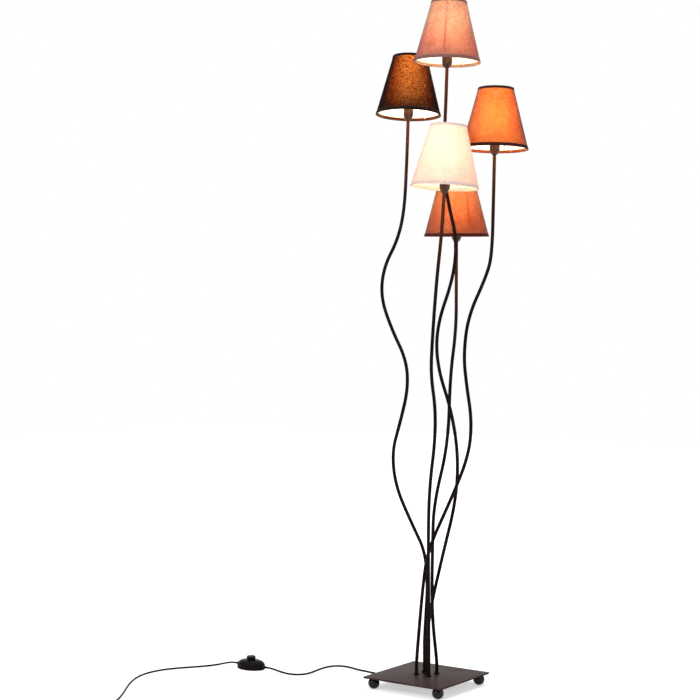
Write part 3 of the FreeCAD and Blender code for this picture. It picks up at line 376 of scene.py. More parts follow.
def lamp_frame(lamp):
    """Moves a piece from the drawing, where the lamp's axis is Z, to its place on the stem."""
    rim, (lean_x, lean_y) = LAMPS[lamp]
    axis = Vector((math.tan(math.radians(lean_x)), math.tan(math.radians(lean_y)), 1))
    turn = Vector((0, 0, 1)).rotation_difference(axis).to_matrix().to_4x4()
    return Matrix.Translation(rim) @ turn


def smooth_line(name, points, radius, resolution):
    """A round bar along a smooth curve that is steered by its points."""
    bpy.ops.object.select_all(action="DESELECT")
    bpy.ops.curve.primitive_nurbs_path_add(location=(0, 0, 0))
    bar = bpy.context.object
    bar.name = name
    curve = bar.data
    curve.splines.clear()
    curve.dimensions = "3D"
    curve.resolution_u = resolution
    curve.bevel_depth = radius
    curve.bevel_resolution = 6
    curve.use_fill_caps = True
    spline = curve.splines.new("NURBS")
    spline.points.add(len(points) - 1)
    for point, place in zip(spline.points, points):
        point.co = (*place, 1)
    spline.order_u = 3
    spline.use_endpoint_u = True
    return bar


def hole(lamp):
    across, along, _ = STEM_FEET[lamp]
    return PLATE_CENTRE + Vector((across, along, 0)) * HOLE_PITCH


for lamp, (rim, _) in LAMPS.items():
    foot_x, foot_y, _ = hole(lamp)
    first_bend = STEM_FEET[lamp][2]
    points = [
        Vector((foot_x, foot_y, STEM_BOTTOM)),
        Vector((foot_x, foot_y, STEM_BOTTOM + (first_bend - STEM_BOTTOM) * 0.7)),
        Vector((foot_x, foot_y, first_bend)),
    ]
    for x, y, thousandths in STEM_BENDS[lamp]:
        bend = PLATE_CENTRE + Vector((x, y, 0)) * MILLIMETRE
        bend.z = rim[2] * thousandths / 1000
        points.append(bend)
    on_lamp = lamp_frame(lamp)
    points.append(on_lamp @ Vector((0, 0, -NECK_RUN)))
    points.append(on_lamp @ Vector((0, 0, -NECK_RUN / 3)))
    points.append(on_lamp @ Vector((0, 0, STEM_INTO_CAP)))
    stem = smooth_line(f"bent_stem_{lamp}", points, STEM_RADIUS, 16)
    bpy.ops.object.convert(target="MESH")
    finished(stem, 60)
    # Each point's share of that painted lamplight: 1 at the lamp's rim, 0 from 30 cm off.
    near_lamp = stem.data.attributes.new("near_lamp", "FLOAT", "POINT")
    for vertex in stem.data.vertices:
        below = (Vector(rim) - vertex.co).length
        near_lamp.data[vertex.index].value = max(0, 1 - below / LAMPLIT_RUN)
    fit(stem, stem_coat, "stand", "stem_paint", f"stem_{lamp}")


def turned(name, profile, sides=64, closed=True):
    """A piece turned on a lathe: its outline is drawn point by point and spun about Z."""
    piece = begin(name, bpy.ops.mesh.primitive_plane_add, size=0.01, location=(0, 0, 0))
    bpy.ops.mesh.select_mode(type="VERT")
    bpy.ops.mesh.select_all(action="SELECT")
    bpy.ops.mesh.merge(type="CENTER")
    radius, height = profile[0]
    bpy.ops.transform.translate(value=(radius, 0, height))
    outline = profile + profile[:1] if closed else profile
    for (r, z), (next_r, next_z) in zip(outline, outline[1:]):
        step = {"value": (next_r - r, 0, next_z - z)}
        bpy.ops.mesh.extrude_region_move(TRANSFORM_OT_translate=step)
    bpy.ops.mesh.select_all(action="SELECT")
    bpy.ops.mesh.remove_doubles(threshold=1e-7)
    bpy.ops.mesh.select_all(action="SELECT")
    bpy.ops.mesh.spin(steps=sides, angle=2 * math.pi, center=(0, 0, 0), axis=(0, 0, 1))
    bpy.ops.mesh.select_all(action="SELECT")
    bpy.ops.mesh.remove_doubles(threshold=2e-6)
    bpy.ops.mesh.normals_make_consistent(inside=False)
    return piece


def arc(centre, radius, start, end, steps):
    """Points of an outline round a centre, from one angle in degrees to another."""
    angles = [math.radians(start + (end - start) * n / steps) for n in range(steps + 1)]
    return [(centre[0] + radius * math.cos(a), centre[1] + radius * math.sin(a)) for a in angles]


# The collars are turned rings with a rounded upper edge, coated with the stems.
collar = turned(
    "collar_pattern",
    [(0.00405, 0), (0.0062, 0), (0.0062, 0.003)] + arc((0.0050, 0.0029), 0.0011, 10, 90, 5)
    + [(0.00405, 0.004)],
    40,
)
finished(collar)
collars = [
    copied(collar, f"collar_{lamp}", Matrix.Translation(hole(lamp) + Vector((0, 0, PLATE_TOP))))
    for lamp in LAMPS
]
bpy.data.objects.remove(collar)
for number, ring in enumerate(collars):
    fit(ring, stem_coat, "stand", "satin_paint", *(["stem_collars"] if number == 0 else []))

# ---- lampholders ---------------------------------------------------------------------------------
# A spun brass cup, bronzed to a dark reddish brown, covers the joint of stem and socket. The
# socket itself is a white heat-proof moulding with a metal centre contact.

# Bronzed brass: warm brown metal, rubbed a little brighter in broad patches.
bronze = coating(
    "bronzed_brass", "#2c1a14", "#553526", 0.009, (0.3, 0.46), 0.0008, 0.00002, 0.7
)

cap = turned(
    "cap_pattern",
    [(0.0041, -0.013), (0.0049, -0.0133), (0.0057, -0.0127)]
    + [(0.0074, -0.0112), (0.0090, -0.0087), (0.0105, -0.0055), (0.0116, -0.0020)]
    + [(0.0121, 0.0010), (0.0122, 0.0040), (0.0122, 0.0172), (0.0125, 0.0178), (0.0120, 0.0180)]
    + [(0.0112, 0.0176), (0.0112, 0.0010), (0.0096, -0.0050), (0.0052, -0.0119)]
    + [(0.0041, -0.0120)],
    64,
)
finished(cap, 40)
for lamp in LAMPS:
    cup = copied(cap, f"cap_{lamp}", lamp_frame(lamp))
    fit(cup, bronze, "stand", "bronze", f"holder_cap_{lamp}")
bpy.data.objects.remove(cap)

# Heat-proof thermoset: off-white, glossy where it was moulded, with faint flow marks.
thermoset = coating(
    "white_thermoset", "#e0dcd2", "#efece6", 0.006, (0.26, 0.4), 0.001, 0.00001
)

thread = []
for turn in range(8):
    level = 0.0205 + 0.0016 * turn
    thread += [(0.0133, level), (0.0139, level + 0.0005), (0.0139, level + 0.0008)]
    thread += [(0.0133, level + 0.0013)]
socket = turned(
    "socket_pattern",
    [(0.00475, -0.0119), (0.0107, 0.0010), (0.0107, 0.0179), (0.0155, 0.0180), (0.0155, 0.0198)]
    + [(0.0150, 0.0200)]
    + thread
    + [(0.0133, 0.0339), (0.0074, 0.0340), (0.0073, 0.0170), (0.0026, 0.0170), (0.0026, -0.0039)]
    + [(0.0041, -0.0039), (0.0041, -0.0119)],
    64,
)
finished(socket, 50)
for lamp in LAMPS:
    moulding = copied(socket, f"socket_{lamp}", lamp_frame(lamp))
    fit(moulding, thermoset, "stand", "white_plastic", f"holder_{lamp}")
bpy.data.objects.remove(socket)

# The shade ring is a knurled nut of the same moulding: its grip is cut by pushing in every other
# strip of its rim.
ring = turned(
    "ring_pattern",
    [(0.01395, 0.0216), (0.0163, 0.0216), (0.0165, 0.0220), (0.0165, 0.0262), (0.0153, 0.0276)]
    + [(0.01395, 0.0276)],
    72,
)
choose(
    ring,
    lambda place: math.hypot(place.x, place.y) > 0.0160
    and math.degrees(math.atan2(place.y, place.x)) % 20 < 6,
)
bpy.ops.transform.resize(value=(0.955, 0.955, 1), center_override=(0, 0, 0.0246))
finished(ring)
for lamp in LAMPS:
    nut = copied(ring, f"ring_{lamp}", lamp_frame(lamp))
    fit(nut, thermoset, "stand", "white_plastic", f"shade_ring_{lamp}")
bpy.data.objects.remove(ring)

# Plain brass for the contacts: yellow metal, slightly tarnished.
brass = coating("tarnished_brass", "#b48a45", "#d6b36b", 0.003, (0.25, 0.4), 0.0006, 0.00001, 1.0)
dress(brass, "holder_contacts")

# ---- bulbs ---------------------------------------------------------------------------------------
# A round opal bulb of 45 mm on a small screw base, alight. The glass is blown and etched white,
# the base is nickel-plated brass with a rolled thread.
BULB_SEAT = 0.01785
BALL_CENTRE = 0.07195
BALL_RADIUS = 0.0225
BULB_LIGHT = 25.0

# Opal glass, lit from within: warm white light, a little uneven in the opal, and a smooth skin.
opal, tree, shader, place = new_material("opal_glass_alight", 0.2, Emission_Strength=BULB_LIGHT)
opal_depth = add_node(tree, "ShaderNodeTexNoise", {"Vector": place, "Scale": 55}).outputs["Fac"]
warm = add_node(
    tree, "ShaderNodeValToRGB", {"Fac": opal_depth}, stops=[(0.3, "#ffe3bc"), (0.7, "#ffedd0")]
)
tree.links.new(warm.outputs["Color"], shader.inputs["Emission Color"])

neck = [(0.0089, 0.0381), (0.0091, 0.0400), (0.0095, 0.0425), (0.0104, 0.0460)]
neck += [(0.0117, 0.0500), (0.0134, 0.0540)]
globe = turned(
    "globe_pattern",
    [(0.0, 0.0380)] + neck + arc((0, BALL_CENTRE), BALL_RADIUS, -50, 90, 18),
    64,
    closed=False,
)
finished(globe, 50)

# Nickel plating: a warm grey metal, bright, with finger-marks.
nickel = coating(
    "nickel_plated_brass", "#b9b6ae", "#d2d0ca", 0.003, (0.14, 0.32), 0.0006, 0.00001, 1.0
)
shell = [(0.0, BULB_SEAT), (0.0034, BULB_SEAT), (0.0040, 0.0188), (0.0060, 0.0203)]
for turn in range(6):
    level = 0.0206 + 0.0026 * turn
    shell += [(0.0063, level), (0.0069, level + 0.0008), (0.0069, level + 0.0013)]
    shell += [(0.0063, level + 0.0021)]
shell += [(0.0066, 0.0370), (0.0088, 0.0380), (0.0088, 0.0384), (0.0, 0.0384)]
screw_base = turned("base_pattern", shell, 48, closed=False)
finished(screw_base, 50)
for lamp in LAMPS:
    glass = copied(globe, f"globe_{lamp}", lamp_frame(lamp))
    fit(glass, opal, f"bulb_{lamp}", "bulb_glass", f"bulb_{lamp}")
    base = copied(screw_base, f"screw_base_{lamp}", lamp_frame(lamp))
    fit(base, nickel, f"bulb_{lamp}", "bulb_glass")
bpy.data.objects.remove(globe)
bpy.data.objects.remove(screw_base)

# ---- shades --------------------------------------------------------------------------------------
# Cloth laminated on a stiff lining, cut as part of a ring, rolled to a cone and overlapped at one
# seam. Both rims are bound with a folded tape over the frame's hoop. All five are one size.
SHADE_BOTTOM = 0.077
SHADE_TOP = 0.0405
SHADE_HEIGHT = 0.140
SHADE_WALL = 0.001
SLOPE = (SHADE_BOTTOM - SHADE_TOP) / SHADE_HEIGHT
APEX = SHADE_HEIGHT + SHADE_TOP / SLOPE
FLAT_TURN = SLOPE / math.hypot(SLOPE, 1)
RIM_SLANT = math.hypot(SHADE_BOTTOM, APEX)
TOP_SLANT = math.hypot(SHADE_TOP, APEX - SHADE_HEIGHT)
CLOTH = 0.0006
HOOP_INSIDE = 0.0747
TAPE_HEIGHT = 0.0068
SEAM_STEP = 0.0005
SEAM_ANGLE = 0.11
WEAVE = 0.0013
# A wave texture of scale 1 repeats after this many metres.
WAVE_LENGTH = 0.314
# Where each shade's seam is, in degrees about its axis.
SEAMS = {"top": -67, "left": 120, "right": -132, "front": -32, "lower": -34}


def cone(height, outward=0.0):
    """The radius of the cover's outside at a height, and a little further out."""
    return SHADE_BOTTOM - SLOPE * height + outward


def hoop(height, inward):
    """The radius of the hoop's inside at a height, and a little further in."""
    return HOOP_INSIDE - SLOPE * height - inward


def unroll(piece, seam):
    """Lays the pattern on the cone as on the flat cut piece, in metres, its middle upright."""
    for layer in list(piece.data.uv_layers):
        piece.data.uv_layers.remove(layer)
    layer = piece.data.uv_layers.new(name="cut_cloth")
    for face in piece.data.polygons:
        middle = math.atan2(face.center.y, face.center.x)
        for loop in face.loop_indices:
            place = piece.data.vertices[piece.data.loops[loop].vertex_index].co
            angle = math.atan2(place.y, place.x)
            angle += 2 * math.pi * round((middle - angle) / (2 * math.pi))
            around = (middle - seam) % (2 * math.pi) + angle - middle - math.pi
            slant = math.hypot(math.hypot(place.x, place.y), APEX - place.z)
            flat = around * FLAT_TURN
            layer.data[loop].uv = (slant * math.sin(flat), slant * math.cos(flat))


def down_the_cone(tree):
    """Where a point is on the flat cut piece, and how far down the cone: 0 at the upper rim, 1 at
    the lower."""
    flat = add_node(tree, "ShaderNodeTexCoord").outputs["UV"]
    slant = add_node(tree, "ShaderNodeVectorMath", {0: flat}, operation="LENGTH").outputs["Value"]
    height = add_node(
        tree,
        "ShaderNodeMapRange",
        {"Value": slant, "From Min": TOP_SLANT, "From Max": RIM_SLANT},
    )
    return flat, height.outputs["Result"]


def cloth_material(name, thin, thick, through, soak, deep, glow, strength, slub, sheen):
    """Plain-woven slub cloth on a lit film. thin and thick are its dye where a thread is thin and
    where it is thick. soak is the colour of the light that is left after it has crossed the cloth,
    and deep how strongly; glow is the light scattered in it, from the upper rim to the lower.
    slub is the width and length of its thick places."""
    material, tree, shader, _ = new_material(
        name,
        0.9,
        Transmission_Weight=through,
        IOR=1.05,
        Sheen_Weight=sheen,
        Sheen_Roughness=0.5,
        Emission_Strength=strength,
    )
    flat, height = down_the_cone(tree)
    threads = [
        add_node(
            tree,
            "ShaderNodeTexWave",
            {"Vector": flat, "Scale": WAVE_LENGTH / WEAVE, "Distortion": 1.5, "Detail": 2},
            bands_direction=direction,
        ).outputs["Fac"]
        for direction in ("X", "Y")
    ]
    slubs = [
        add_node(
            tree,
            "ShaderNodeTexNoise",
            {
                "Vector": add_node(
                    tree, "ShaderNodeMapping", {"Vector": flat, "Scale": stretch}
                ).outputs["Vector"],
                "Scale": 1 / slub[0],
                "Detail": 3,
                "Roughness": 0.6,
            },
        ).outputs["Fac"]
        for stretch in ((1, slub[0] / slub[1], 1), (slub[0] / slub[1], 1, 1))
    ]
    both = add_node(tree, "ShaderNodeMath", {0: slubs[0], 1: slubs[1]}, operation="ADD")
    yarn = add_node(
        tree,
        "ShaderNodeMapRange",
        {"Value": both.outputs[0], "From Min": 0.82, "From Max": 1.18},
    ).outputs["Result"]
    over = add_node(tree, "ShaderNodeMath", {0: threads[0], 1: threads[1]}, operation="MULTIPLY")
    relief = add_node(tree, "ShaderNodeMath", {0: over.outputs[0], 1: yarn}, operation="ADD")
    bump = add_node(
        tree, "ShaderNodeBump", {"Height": relief.outputs[0], "Distance": 0.0002, "Strength": 0.5}
    )
    tree.links.new(bump.outputs["Normal"], shader.inputs["Normal"])
    dye = add_node(tree, "ShaderNodeValToRGB", {"Fac": yarn}, stops=[(0.1, thin), (0.9, thick)])
    tree.links.new(dye.outputs["Color"], shader.inputs["Base Color"])
    scattered = add_node(tree, "ShaderNodeValToRGB", {"Fac": height}, stops=glow).outputs["Color"]
    # Less of it comes out where a slub lies.
    past = add_node(
        tree, "ShaderNodeMapRange", {"Value": yarn, "To Min": 1.15, "To Max": 0.75}
    ).outputs["Result"]
    lit = add_node(tree, "ShaderNodeVectorMath", {0: scattered, "Scale": past}, operation="SCALE")
    tree.links.new(lit.outputs["Vector"], shader.inputs["Emission Color"])
    # The dye takes more of the light that crosses the cloth at a slant.
    dyed = add_node(
        tree, "ShaderNodeVolumeAbsorption", {"Color": linear(soak), "Density": deep / CLOTH}
    )
    tree.links.new(dyed.outputs["Volume"], tree.nodes["Material Output"].inputs["Volume"])
    return material


def lining_material(name, light):
    """A white plastic film behind the cloth: translucent, and lit so strongly that it shows no
    texture apart from a soft unevenness of the glue. light is what it scatters from the bulb,
    at the upper rim, in the middle and at the lower rim."""
    material, tree, shader, place = new_material(name, 1.0, Transmission_Weight=0.6)
    glue = add_node(tree, "ShaderNodeTexNoise", {"Vector": place, "Scale": 70}).outputs["Fac"]
    film = add_node(
        tree, "ShaderNodeValToRGB", {"Fac": glue}, stops=[(0.3, "#efe8dc"), (0.7, "#faf6ef")]
    )
    tree.links.new(film.outputs["Color"], shader.inputs["Base Color"])
    alight = add_node(
        tree, "ShaderNodeValToRGB", {"Fac": glue}, stops=[(0.3, "#f6dcc0"), (0.7, "#fbe8d2")]
    )
    tree.links.new(alight.outputs["Color"], shader.inputs["Emission Color"])
    _, height = down_the_cone(tree)
    spread = add_node(tree, "ShaderNodeFloatCurve", {"Value": height})
    curve = spread.mapping.curves[0]
    spread.mapping.use_clip = False
    curve.points[0].location = (0, light[0])
    curve.points[1].location = (1, light[2])
    curve.points.new(0.45, light[1])
    spread.mapping.update()
    tree.links.new(spread.outputs["Value"], shader.inputs["Emission Strength"])
    return material


LININGS = {
    "top": lining_material("lining_of_salmon_shade", (1.3, 1.15, 0.25)),
    "left": lining_material("lining_of_black_shade", (8.5, 4.0, 0.0)),
    "right": lining_material("lining_of_orange_shade", (1.4, 1.5, 0.0)),
    "front": lining_material("lining_of_cream_shade", (0.5, 0.4, 0.1)),
    "lower": lining_material("lining_of_burnt_orange_shade", (1.0, 0.8, 0.1)),
}
SLOTS = {
    "top": "cloth_pink",
    "left": "cloth_black",
    "right": "cloth_orange",
    "front": "cloth_cream",
    "lower": "cloth_orange",
}

# Slub cloth: uneven dyed threads. They are drawn 1.3 mm apart, about three times coarser than
# real, and the slubs 3.5 mm wide, so that they show. The black linen is woven more openly. Last
# come the colour and strength of what each scatters, the slubs' size and the sheen.
CLOTHS = {
    "top": cloth_material(
        "salmon_slub_cloth", "#cebaac", "#b49686", 0.72, "#eed5c1", 3,
        [(0.0, "#a08c6c"), (0.3, "#b0ac84"), (0.7, "#a42c1c"), (1.0, "#8c2010")], 0.4,
        (0.0035, 0.022), 0.1,
    ),
    "left": cloth_material(
        "black_linen", "#f8e4d4", "#7c5e4c", 0.985, "#cdb68a", 6,
        [(0.0, "#3a1c10"), (0.4, "#3a1c10"), (1.0, "#120a06")], 0.1, (0.0026, 0.008), 0.0,
    ),
    "right": cloth_material(
        "orange_slub_cloth", "#d8b88c", "#c09064", 0.82, "#f0d6a4", 4,
        [(0.0, "#8c4010"), (0.35, "#985018"), (0.7, "#782006"), (1.0, "#581002")], 0.25,
        (0.0035, 0.022), 0.1,
    ),
    "front": cloth_material(
        "cream_slub_cloth", "#faf3ec", "#f2e6de", 0.5, "#fdf8f2", 3,
        [(0.0, "#d8ccb8"), (0.4, "#d8ccb8"), (0.7, "#c8a898"), (1.0, "#b89084")], 0.25,
        (0.0035, 0.022), 0.1,
    ),
    "lower": cloth_material(
        "burnt_orange_slub_cloth", "#d09a78", "#b87850", 0.73, "#ecca9c", 3,
        [(0.0, "#a07c44"), (0.35, "#a07c44"), (0.7, "#882408"), (1.0, "#601004")], 0.4,
        (0.0035, 0.022), 0.1,
    ),
}


def tape_material(name, dark, light, strength):
    """Folded cotton tape: a fine twill, darker than the cloth because it lies double. strength is
    how much of the bulb's light comes out of it."""
    material, tree, shader, place = new_material(
        name, 0.9, Specular_IOR_Level=0.1, Sheen_Weight=0.03, Emission_Strength=strength
    )
    twill = add_node(
        tree,
        "ShaderNodeTexWave",
        {"Vector": place, "Scale": 220, "Distortion": 1.0},
        bands_direction="DIAGONAL",
    ).outputs["Fac"]
    relief = add_node(
        tree, "ShaderNodeBump", {"Height": twill, "Distance": 0.00015, "Strength": 0.5}
    )
    tree.links.new(relief.outputs["Normal"], shader.inputs["Normal"])
    uneven = add_node(
        tree, "ShaderNodeTexNoise", {"Vector": place, "Scale": 200, "Detail": 3}
    ).outputs["Fac"]
    worn = add_node(
        tree, "ShaderNodeValToRGB", {"Fac": uneven}, stops=[(0.3, dark), (0.7, light)]
    ).outputs["Color"]
    tree.links.new(worn, shader.inputs["Base Color"])
    tree.links.new(worn, shader.inputs["Emission Color"])
    return material


# The tape of each shade: its colours outside, the strength of the bulb's light that comes out of
# it, and its colours on the faces towards the bulb, painted lighter and warmer as the bulb's light
# on them.
TAPES = {
    "top": ("#704e4e", "#8a6460", 0.1, "#8c6a54", "#a07c64"),
    "left": ("#0c0706", "#180f0c", 0.03, "#38190a", "#4c240e"),
    "right": ("#281010", "#401a16", 0.05, "#74321c", "#8c4226"),
    "front": ("#d0bab4", "#e0cac2", 0.2, "#c8b8a0", "#d8c8b0"),
    "lower": ("#341614", "#48201a", 0.05, "#6c2e1a", "#844024"),
}

HEIGHTS = (0, 0.02, 0.04, 0.06, 0.08, 0.10, 0.12, 0.14)
cover = turned(
    "cover_pattern",
    [(cone(h), h) for h in HEIGHTS] + [(cone(h, -CLOTH), h) for h in reversed(HEIGHTS)],
    128,
)
finished(cover, 50)
film = turned(
    "film_pattern",
    [(cone(h, -CLOTH - 0.00005), h) for h in HEIGHTS]
    + [(cone(h, -SHADE_WALL), h) for h in reversed(HEIGHTS)],
    128,
)
finished(film, 50)
# The lower tape goes round the rim and up inside the frame's hoop; it is drawn whole, and the
# spokes pass through it where the real tape is slit.
lower_tape = turned(
    "lower_tape_pattern",
    [(cone(TAPE_HEIGHT, 0.0001), TAPE_HEIGHT), (cone(TAPE_HEIGHT, 0.0003), TAPE_HEIGHT)]
    + [(cone(0.0064, 0.0007), 0.0064), (cone(0, 0.0007), 0.0), (cone(0, 0.0003), -0.0006)]
    + [(hoop(0, 0.0003), -0.0006), (hoop(0, 0.0005), 0.0), (hoop(0.006, 0.0005), 0.0060)]
    + [(hoop(0.0062, 0.0003), 0.0062), (hoop(0.006, 0.00005), 0.0060)]
    + [(hoop(0, 0.00005), -0.0001), (cone(0, 0.0001), -0.0001)],
    128,
)
finished(lower_tape, 50)
upper_tape = turned(
    "upper_tape_pattern",
    [(cone(0.1348, 0.0002), 0.1348), (cone(0.1352, 0.0007), 0.1352)]
    + [(cone(0.14, 0.0007), 0.14), (cone(0.14, 0.0003), 0.1405), (cone(0.14, -0.0013), 0.1405)]
    + [(cone(0.14, -0.0017), 0.14), (cone(0.1352, -0.0017), 0.1352)]
    + [(cone(0.1348, -0.0012), 0.1348)],
    128,
)
finished(upper_tape, 50)

for lamp in LAMPS:
    on_lamp = lamp_frame(lamp)
    seam = math.radians(SEAMS[lamp])
    dark, light, strength, painted_lit_dark, painted_lit_light = TAPES[lamp]
    tapes = [
        tape_material(f"binding_tape_{lamp}", dark, light, strength),
        tape_material(f"painted_lit_binding_tape_{lamp}", painted_lit_dark, painted_lit_light, 0),
    ]
    cloth = copied(cover, f"cover_{lamp}")
    # The overlap at the seam stands out by one thickness of cloth, over 6 mm.
    choose(
        cloth,
        lambda place: math.hypot(place.x, place.y) > cone(place.z, -CLOTH / 2)
        and (math.atan2(place.y, place.x) - seam) % (2 * math.pi) < SEAM_ANGLE,
    )
    bpy.ops.transform.shrink_fatten(value=SEAM_STEP)
    bpy.ops.object.mode_set(mode="OBJECT")
    unroll(cloth, seam)
    cloth.data.transform(on_lamp)
    fit(cloth, CLOTHS[lamp], f"shade_{lamp}", SLOTS[lamp], f"shade_cover_{lamp}")
    inside = copied(film, f"lining_{lamp}")
    unroll(inside, seam)
    inside.data.transform(on_lamp)
    fit(inside, LININGS[lamp], f"shade_{lamp}", SLOTS[lamp])
    for name, pattern in (("lower", lower_tape), ("upper", upper_tape)):
        tape = copied(pattern, f"{name}_tape_{lamp}")
        fit(tape, tapes[0], f"shade_{lamp}", SLOTS[lamp])
        tape.data.materials.append(tapes[1])
        # Faces turned towards the bulb take the second material: painted bulb light on the tape.
        for face in tape.data.polygons:
            outward = Vector((face.center.x, face.center.y, 0)).normalized()
            face.material_index = int(face.normal.dot(outward) < -0.5)
        tape.data.transform(on_lamp)
for pattern in (cover, film, lower_tape, upper_tape):
    bpy.data.objects.remove(pattern)

# White powder coat on the frame's hoop, ring and spokes: plain, with a slight orange peel.
frame_coat = coating(
    "white_powder_coat", "#e0dacd", "#eee9e0", 0.02, (0.35, 0.5), 0.0008, 0.00003
)
dress(frame_coat, *(f"shade_frame_{lamp}" for lamp in LAMPS))

# ---- foot switch ---------------------------------------------------------------------------------
# An oval housing of two black mouldings, screwed together from below. A round button stands out
# of its dome and springs back after each press.
SWITCH_CENTRE = Vector((-0.478, -0.119, 0))
SWITCH_LONG = 0.038
SWITCH_WIDE = 0.027

# Moulded ABS with a satin spark-eroded skin, drawn 0.7 mm coarse so that it shows.
satin_black = coating(
    "spark_eroded_black_abs", "#0f0b0b", "#191313", 0.012, (0.24, 0.42), 0.0007, 0.00004,
    Specular_IOR_Level=0.04,
)


def oval(piece):
    """Stretches a turned piece of radius 1 to the switch's oval, and puts it in its place."""
    bpy.ops.object.mode_set(mode="OBJECT")
    piece.scale = (SWITCH_LONG, SWITCH_WIDE, 1)
    piece.location = SWITCH_CENTRE
    bpy.ops.object.transform_apply(location=True, rotation=True, scale=True)


tray = turned(
    "tray",
    [(0, 0.0), (0.965, 0.0), (0.985, 0.0006), (0.995, 0.0018), (1.0, 0.0035), (1.0, 0.0074)]
    + [(0.99, 0.0079), (0.95, 0.0079), (0.94, 0.0074), (0.94, 0.0022), (0, 0.0020)],
    96,
    closed=False,
)
oval(tray)
finished(tray, 40)
fit(tray, satin_black, "stand", "black_gloss", "switch_base")

dome = turned(
    "dome",
    [(0.94, 0.0081), (0.99, 0.0081), (1.0, 0.0086), (0.995, 0.0105), (0.975, 0.0128)]
    + [(0.93, 0.0152), (0.86, 0.0175), (0.76, 0.0196), (0.64, 0.0209), (0.52, 0.0214)]
    + [(0.44, 0.0215), (0.44, 0.0197), (0.62, 0.0190), (0.80, 0.0166), (0.90, 0.0136)]
    + [(0.94, 0.0105)],
    96,
)
oval(dome)
# The button's hole is round, so the dome's inner edge is drawn to a circle.
choose(
    dome,
    lambda place: place.z > 0.0195
    and math.hypot(
        (place.x - SWITCH_CENTRE.x) / SWITCH_LONG, (place.y - SWITCH_CENTRE.y) / SWITCH_WIDE
    )
    < 0.46,
)
bpy.ops.transform.resize(
    value=(0.0114 / (0.44 * SWITCH_LONG), 0.0114 / (0.44 * SWITCH_WIDE), 1),
    center_override=SWITCH_CENTRE,
)
finished(dome, 40)
fit(dome, satin_black, "stand", "black_gloss", "switch_cover")


def placed(piece, place):
    """Closes the editing of a piece drawn at the origin, and moves its mesh to its place."""
    bpy.ops.object.mode_set(mode="OBJECT")
    piece.data.transform(place)
    return finished(piece, 40)


# The button's black is lighter towards its top, which is slightly dished, and its gloss varies in
# small marks.
top_lightened_black, tree, shader, place = new_material("worn_black_abs", 0.3, Specular_IOR_Level=0.04)
level = add_node(tree, "ShaderNodeSeparateXYZ", {"Vector": place}).outputs["Z"]
towards_top = add_node(
    tree, "ShaderNodeMapRange", {"Value": level, "From Min": 0.027, "From Max": 0.0312}
).outputs["Result"]
top_lightening = add_node(
    tree, "ShaderNodeValToRGB", {"Fac": towards_top}, stops=[(0.0, "#0e0b0c"), (1.0, "#2c2829")]
)
tree.links.new(top_lightening.outputs["Color"], shader.inputs["Base Color"])
marks = add_node(
    tree, "ShaderNodeTexNoise", {"Vector": place, "Scale": 330, "Detail": 4}
).outputs["Fac"]
gloss = add_node(tree, "ShaderNodeMapRange", {"Value": marks, "To Min": 0.15, "To Max": 0.5})
tree.links.new(gloss.outputs["Result"], shader.inputs["Roughness"])
button = turned(
    "button",
    [(0.0128, 0.0171), (0.0129, 0.0193), (0.0110, 0.0194), (0.0110, 0.0290)]
    + arc((0.0094, 0.0292), 0.0016, 0, 90, 6)
    + [(0.0080, 0.0308), (0.0060, 0.0303), (0.0, 0.0301)],
    64,
    closed=False,
)
placed(button, Matrix.Translation(SWITCH_CENTRE))
fit(button, top_lightened_black, "button", "black_gloss", "switch_button")

# ---- mains lead ----------------------------------------------------------------------------------
# A round black PVC lead of 4.5 mm, 1.80 m in all. It leaves the wiring box through a rubber grip,
# lies in loose curves to the foot switch, and goes on to a flat plug. The spare length is coiled.
CORD_DIAMETER = 0.0045
GRIP = (-0.1116, -0.023, 0.014)
SWITCH_RIGHT = (-0.433, -0.119, 0.008)
SWITCH_LEFT = (-0.523, -0.119, 0.008)

# Soft PVC: black, smooth and slightly waxy, with faint draw marks.
pvc = coating(
    "soft_black_pvc", "#0f0c0d", "#181415", 0.012, (0.36, 0.5), 0.0025, 0.00003,
    Specular_IOR_Level=0.06,
)


def row_place(point):
    """A point of the route, given in millimetres from the plate's middle."""
    return PLATE_CENTRE + Vector(point) * MILLIMETRE


near_route = [
    (-119, 12.5, 11.5), (-137, 22, 5.6), (-159, 33.5, 2.3), (-190, 40, 2.3), (-228, 44, 2.3),
    (-266, 57, 2.3), (-297, 52, 2.3), (-310, 22, 2.3), (-305, -22, 2.3), (-299, -60, 2.3),
    (-310, -84, 2.3), (-334, -92, 2.3), (-360, -86, 2.3), (-376, -86, 4.5),
]
near_points = [Vector(GRIP), Vector(GRIP) - Vector((0.0135, 0, 0))]
near_points += [row_place(point) for point in near_route]
near_points += [Vector(SWITCH_RIGHT) + Vector((0.01755, 0, 0)), Vector(SWITCH_RIGHT)]
near_lead = smooth_line("lead_to_switch", near_points, CORD_DIAMETER / 2, 12)
fit(near_lead, pvc, "stand", "cord_rubber", "cord_to_switch")

far_route = [
    (-527, -95, 6), (-540, -116, 3), (-560, -151, 2.3), (-589, -190, 2.3), (-608, -223, 2.3),
    (-618, -262, 2.3), (-615, -304, 2.3), (-599, -347, 2.3), (-574, -390, 2.3),
    (-543, -434, 2.3), (-510, -480, 2.3), (-480, -527, 2.3), (-458, -578, 2.3),
]
COIL_CENTRE = row_place((-472, -651, 2.3))
COIL_INNER = 0.020
COIL_PITCH = 0.005
COIL_TURNS = 4.25
COIL_START = math.radians(14)
POINTS_A_TURN = 16


def coil_place(turns):
    """The lead's middle after so many turns: inwards on the floor, then outwards on top."""
    middle = COIL_TURNS / 2
    radius = COIL_INNER + COIL_PITCH * abs(turns - middle)
    angle = COIL_START - 2 * math.pi * turns
    climb = min(max(turns - middle + 0.25, 0), 0.5) * 2
    outward = Vector((math.cos(angle), math.sin(angle), 0))
    return COIL_CENTRE + outward * radius + Vector((0, 0, COIL_PITCH * climb**2 * (3 - 2 * climb)))


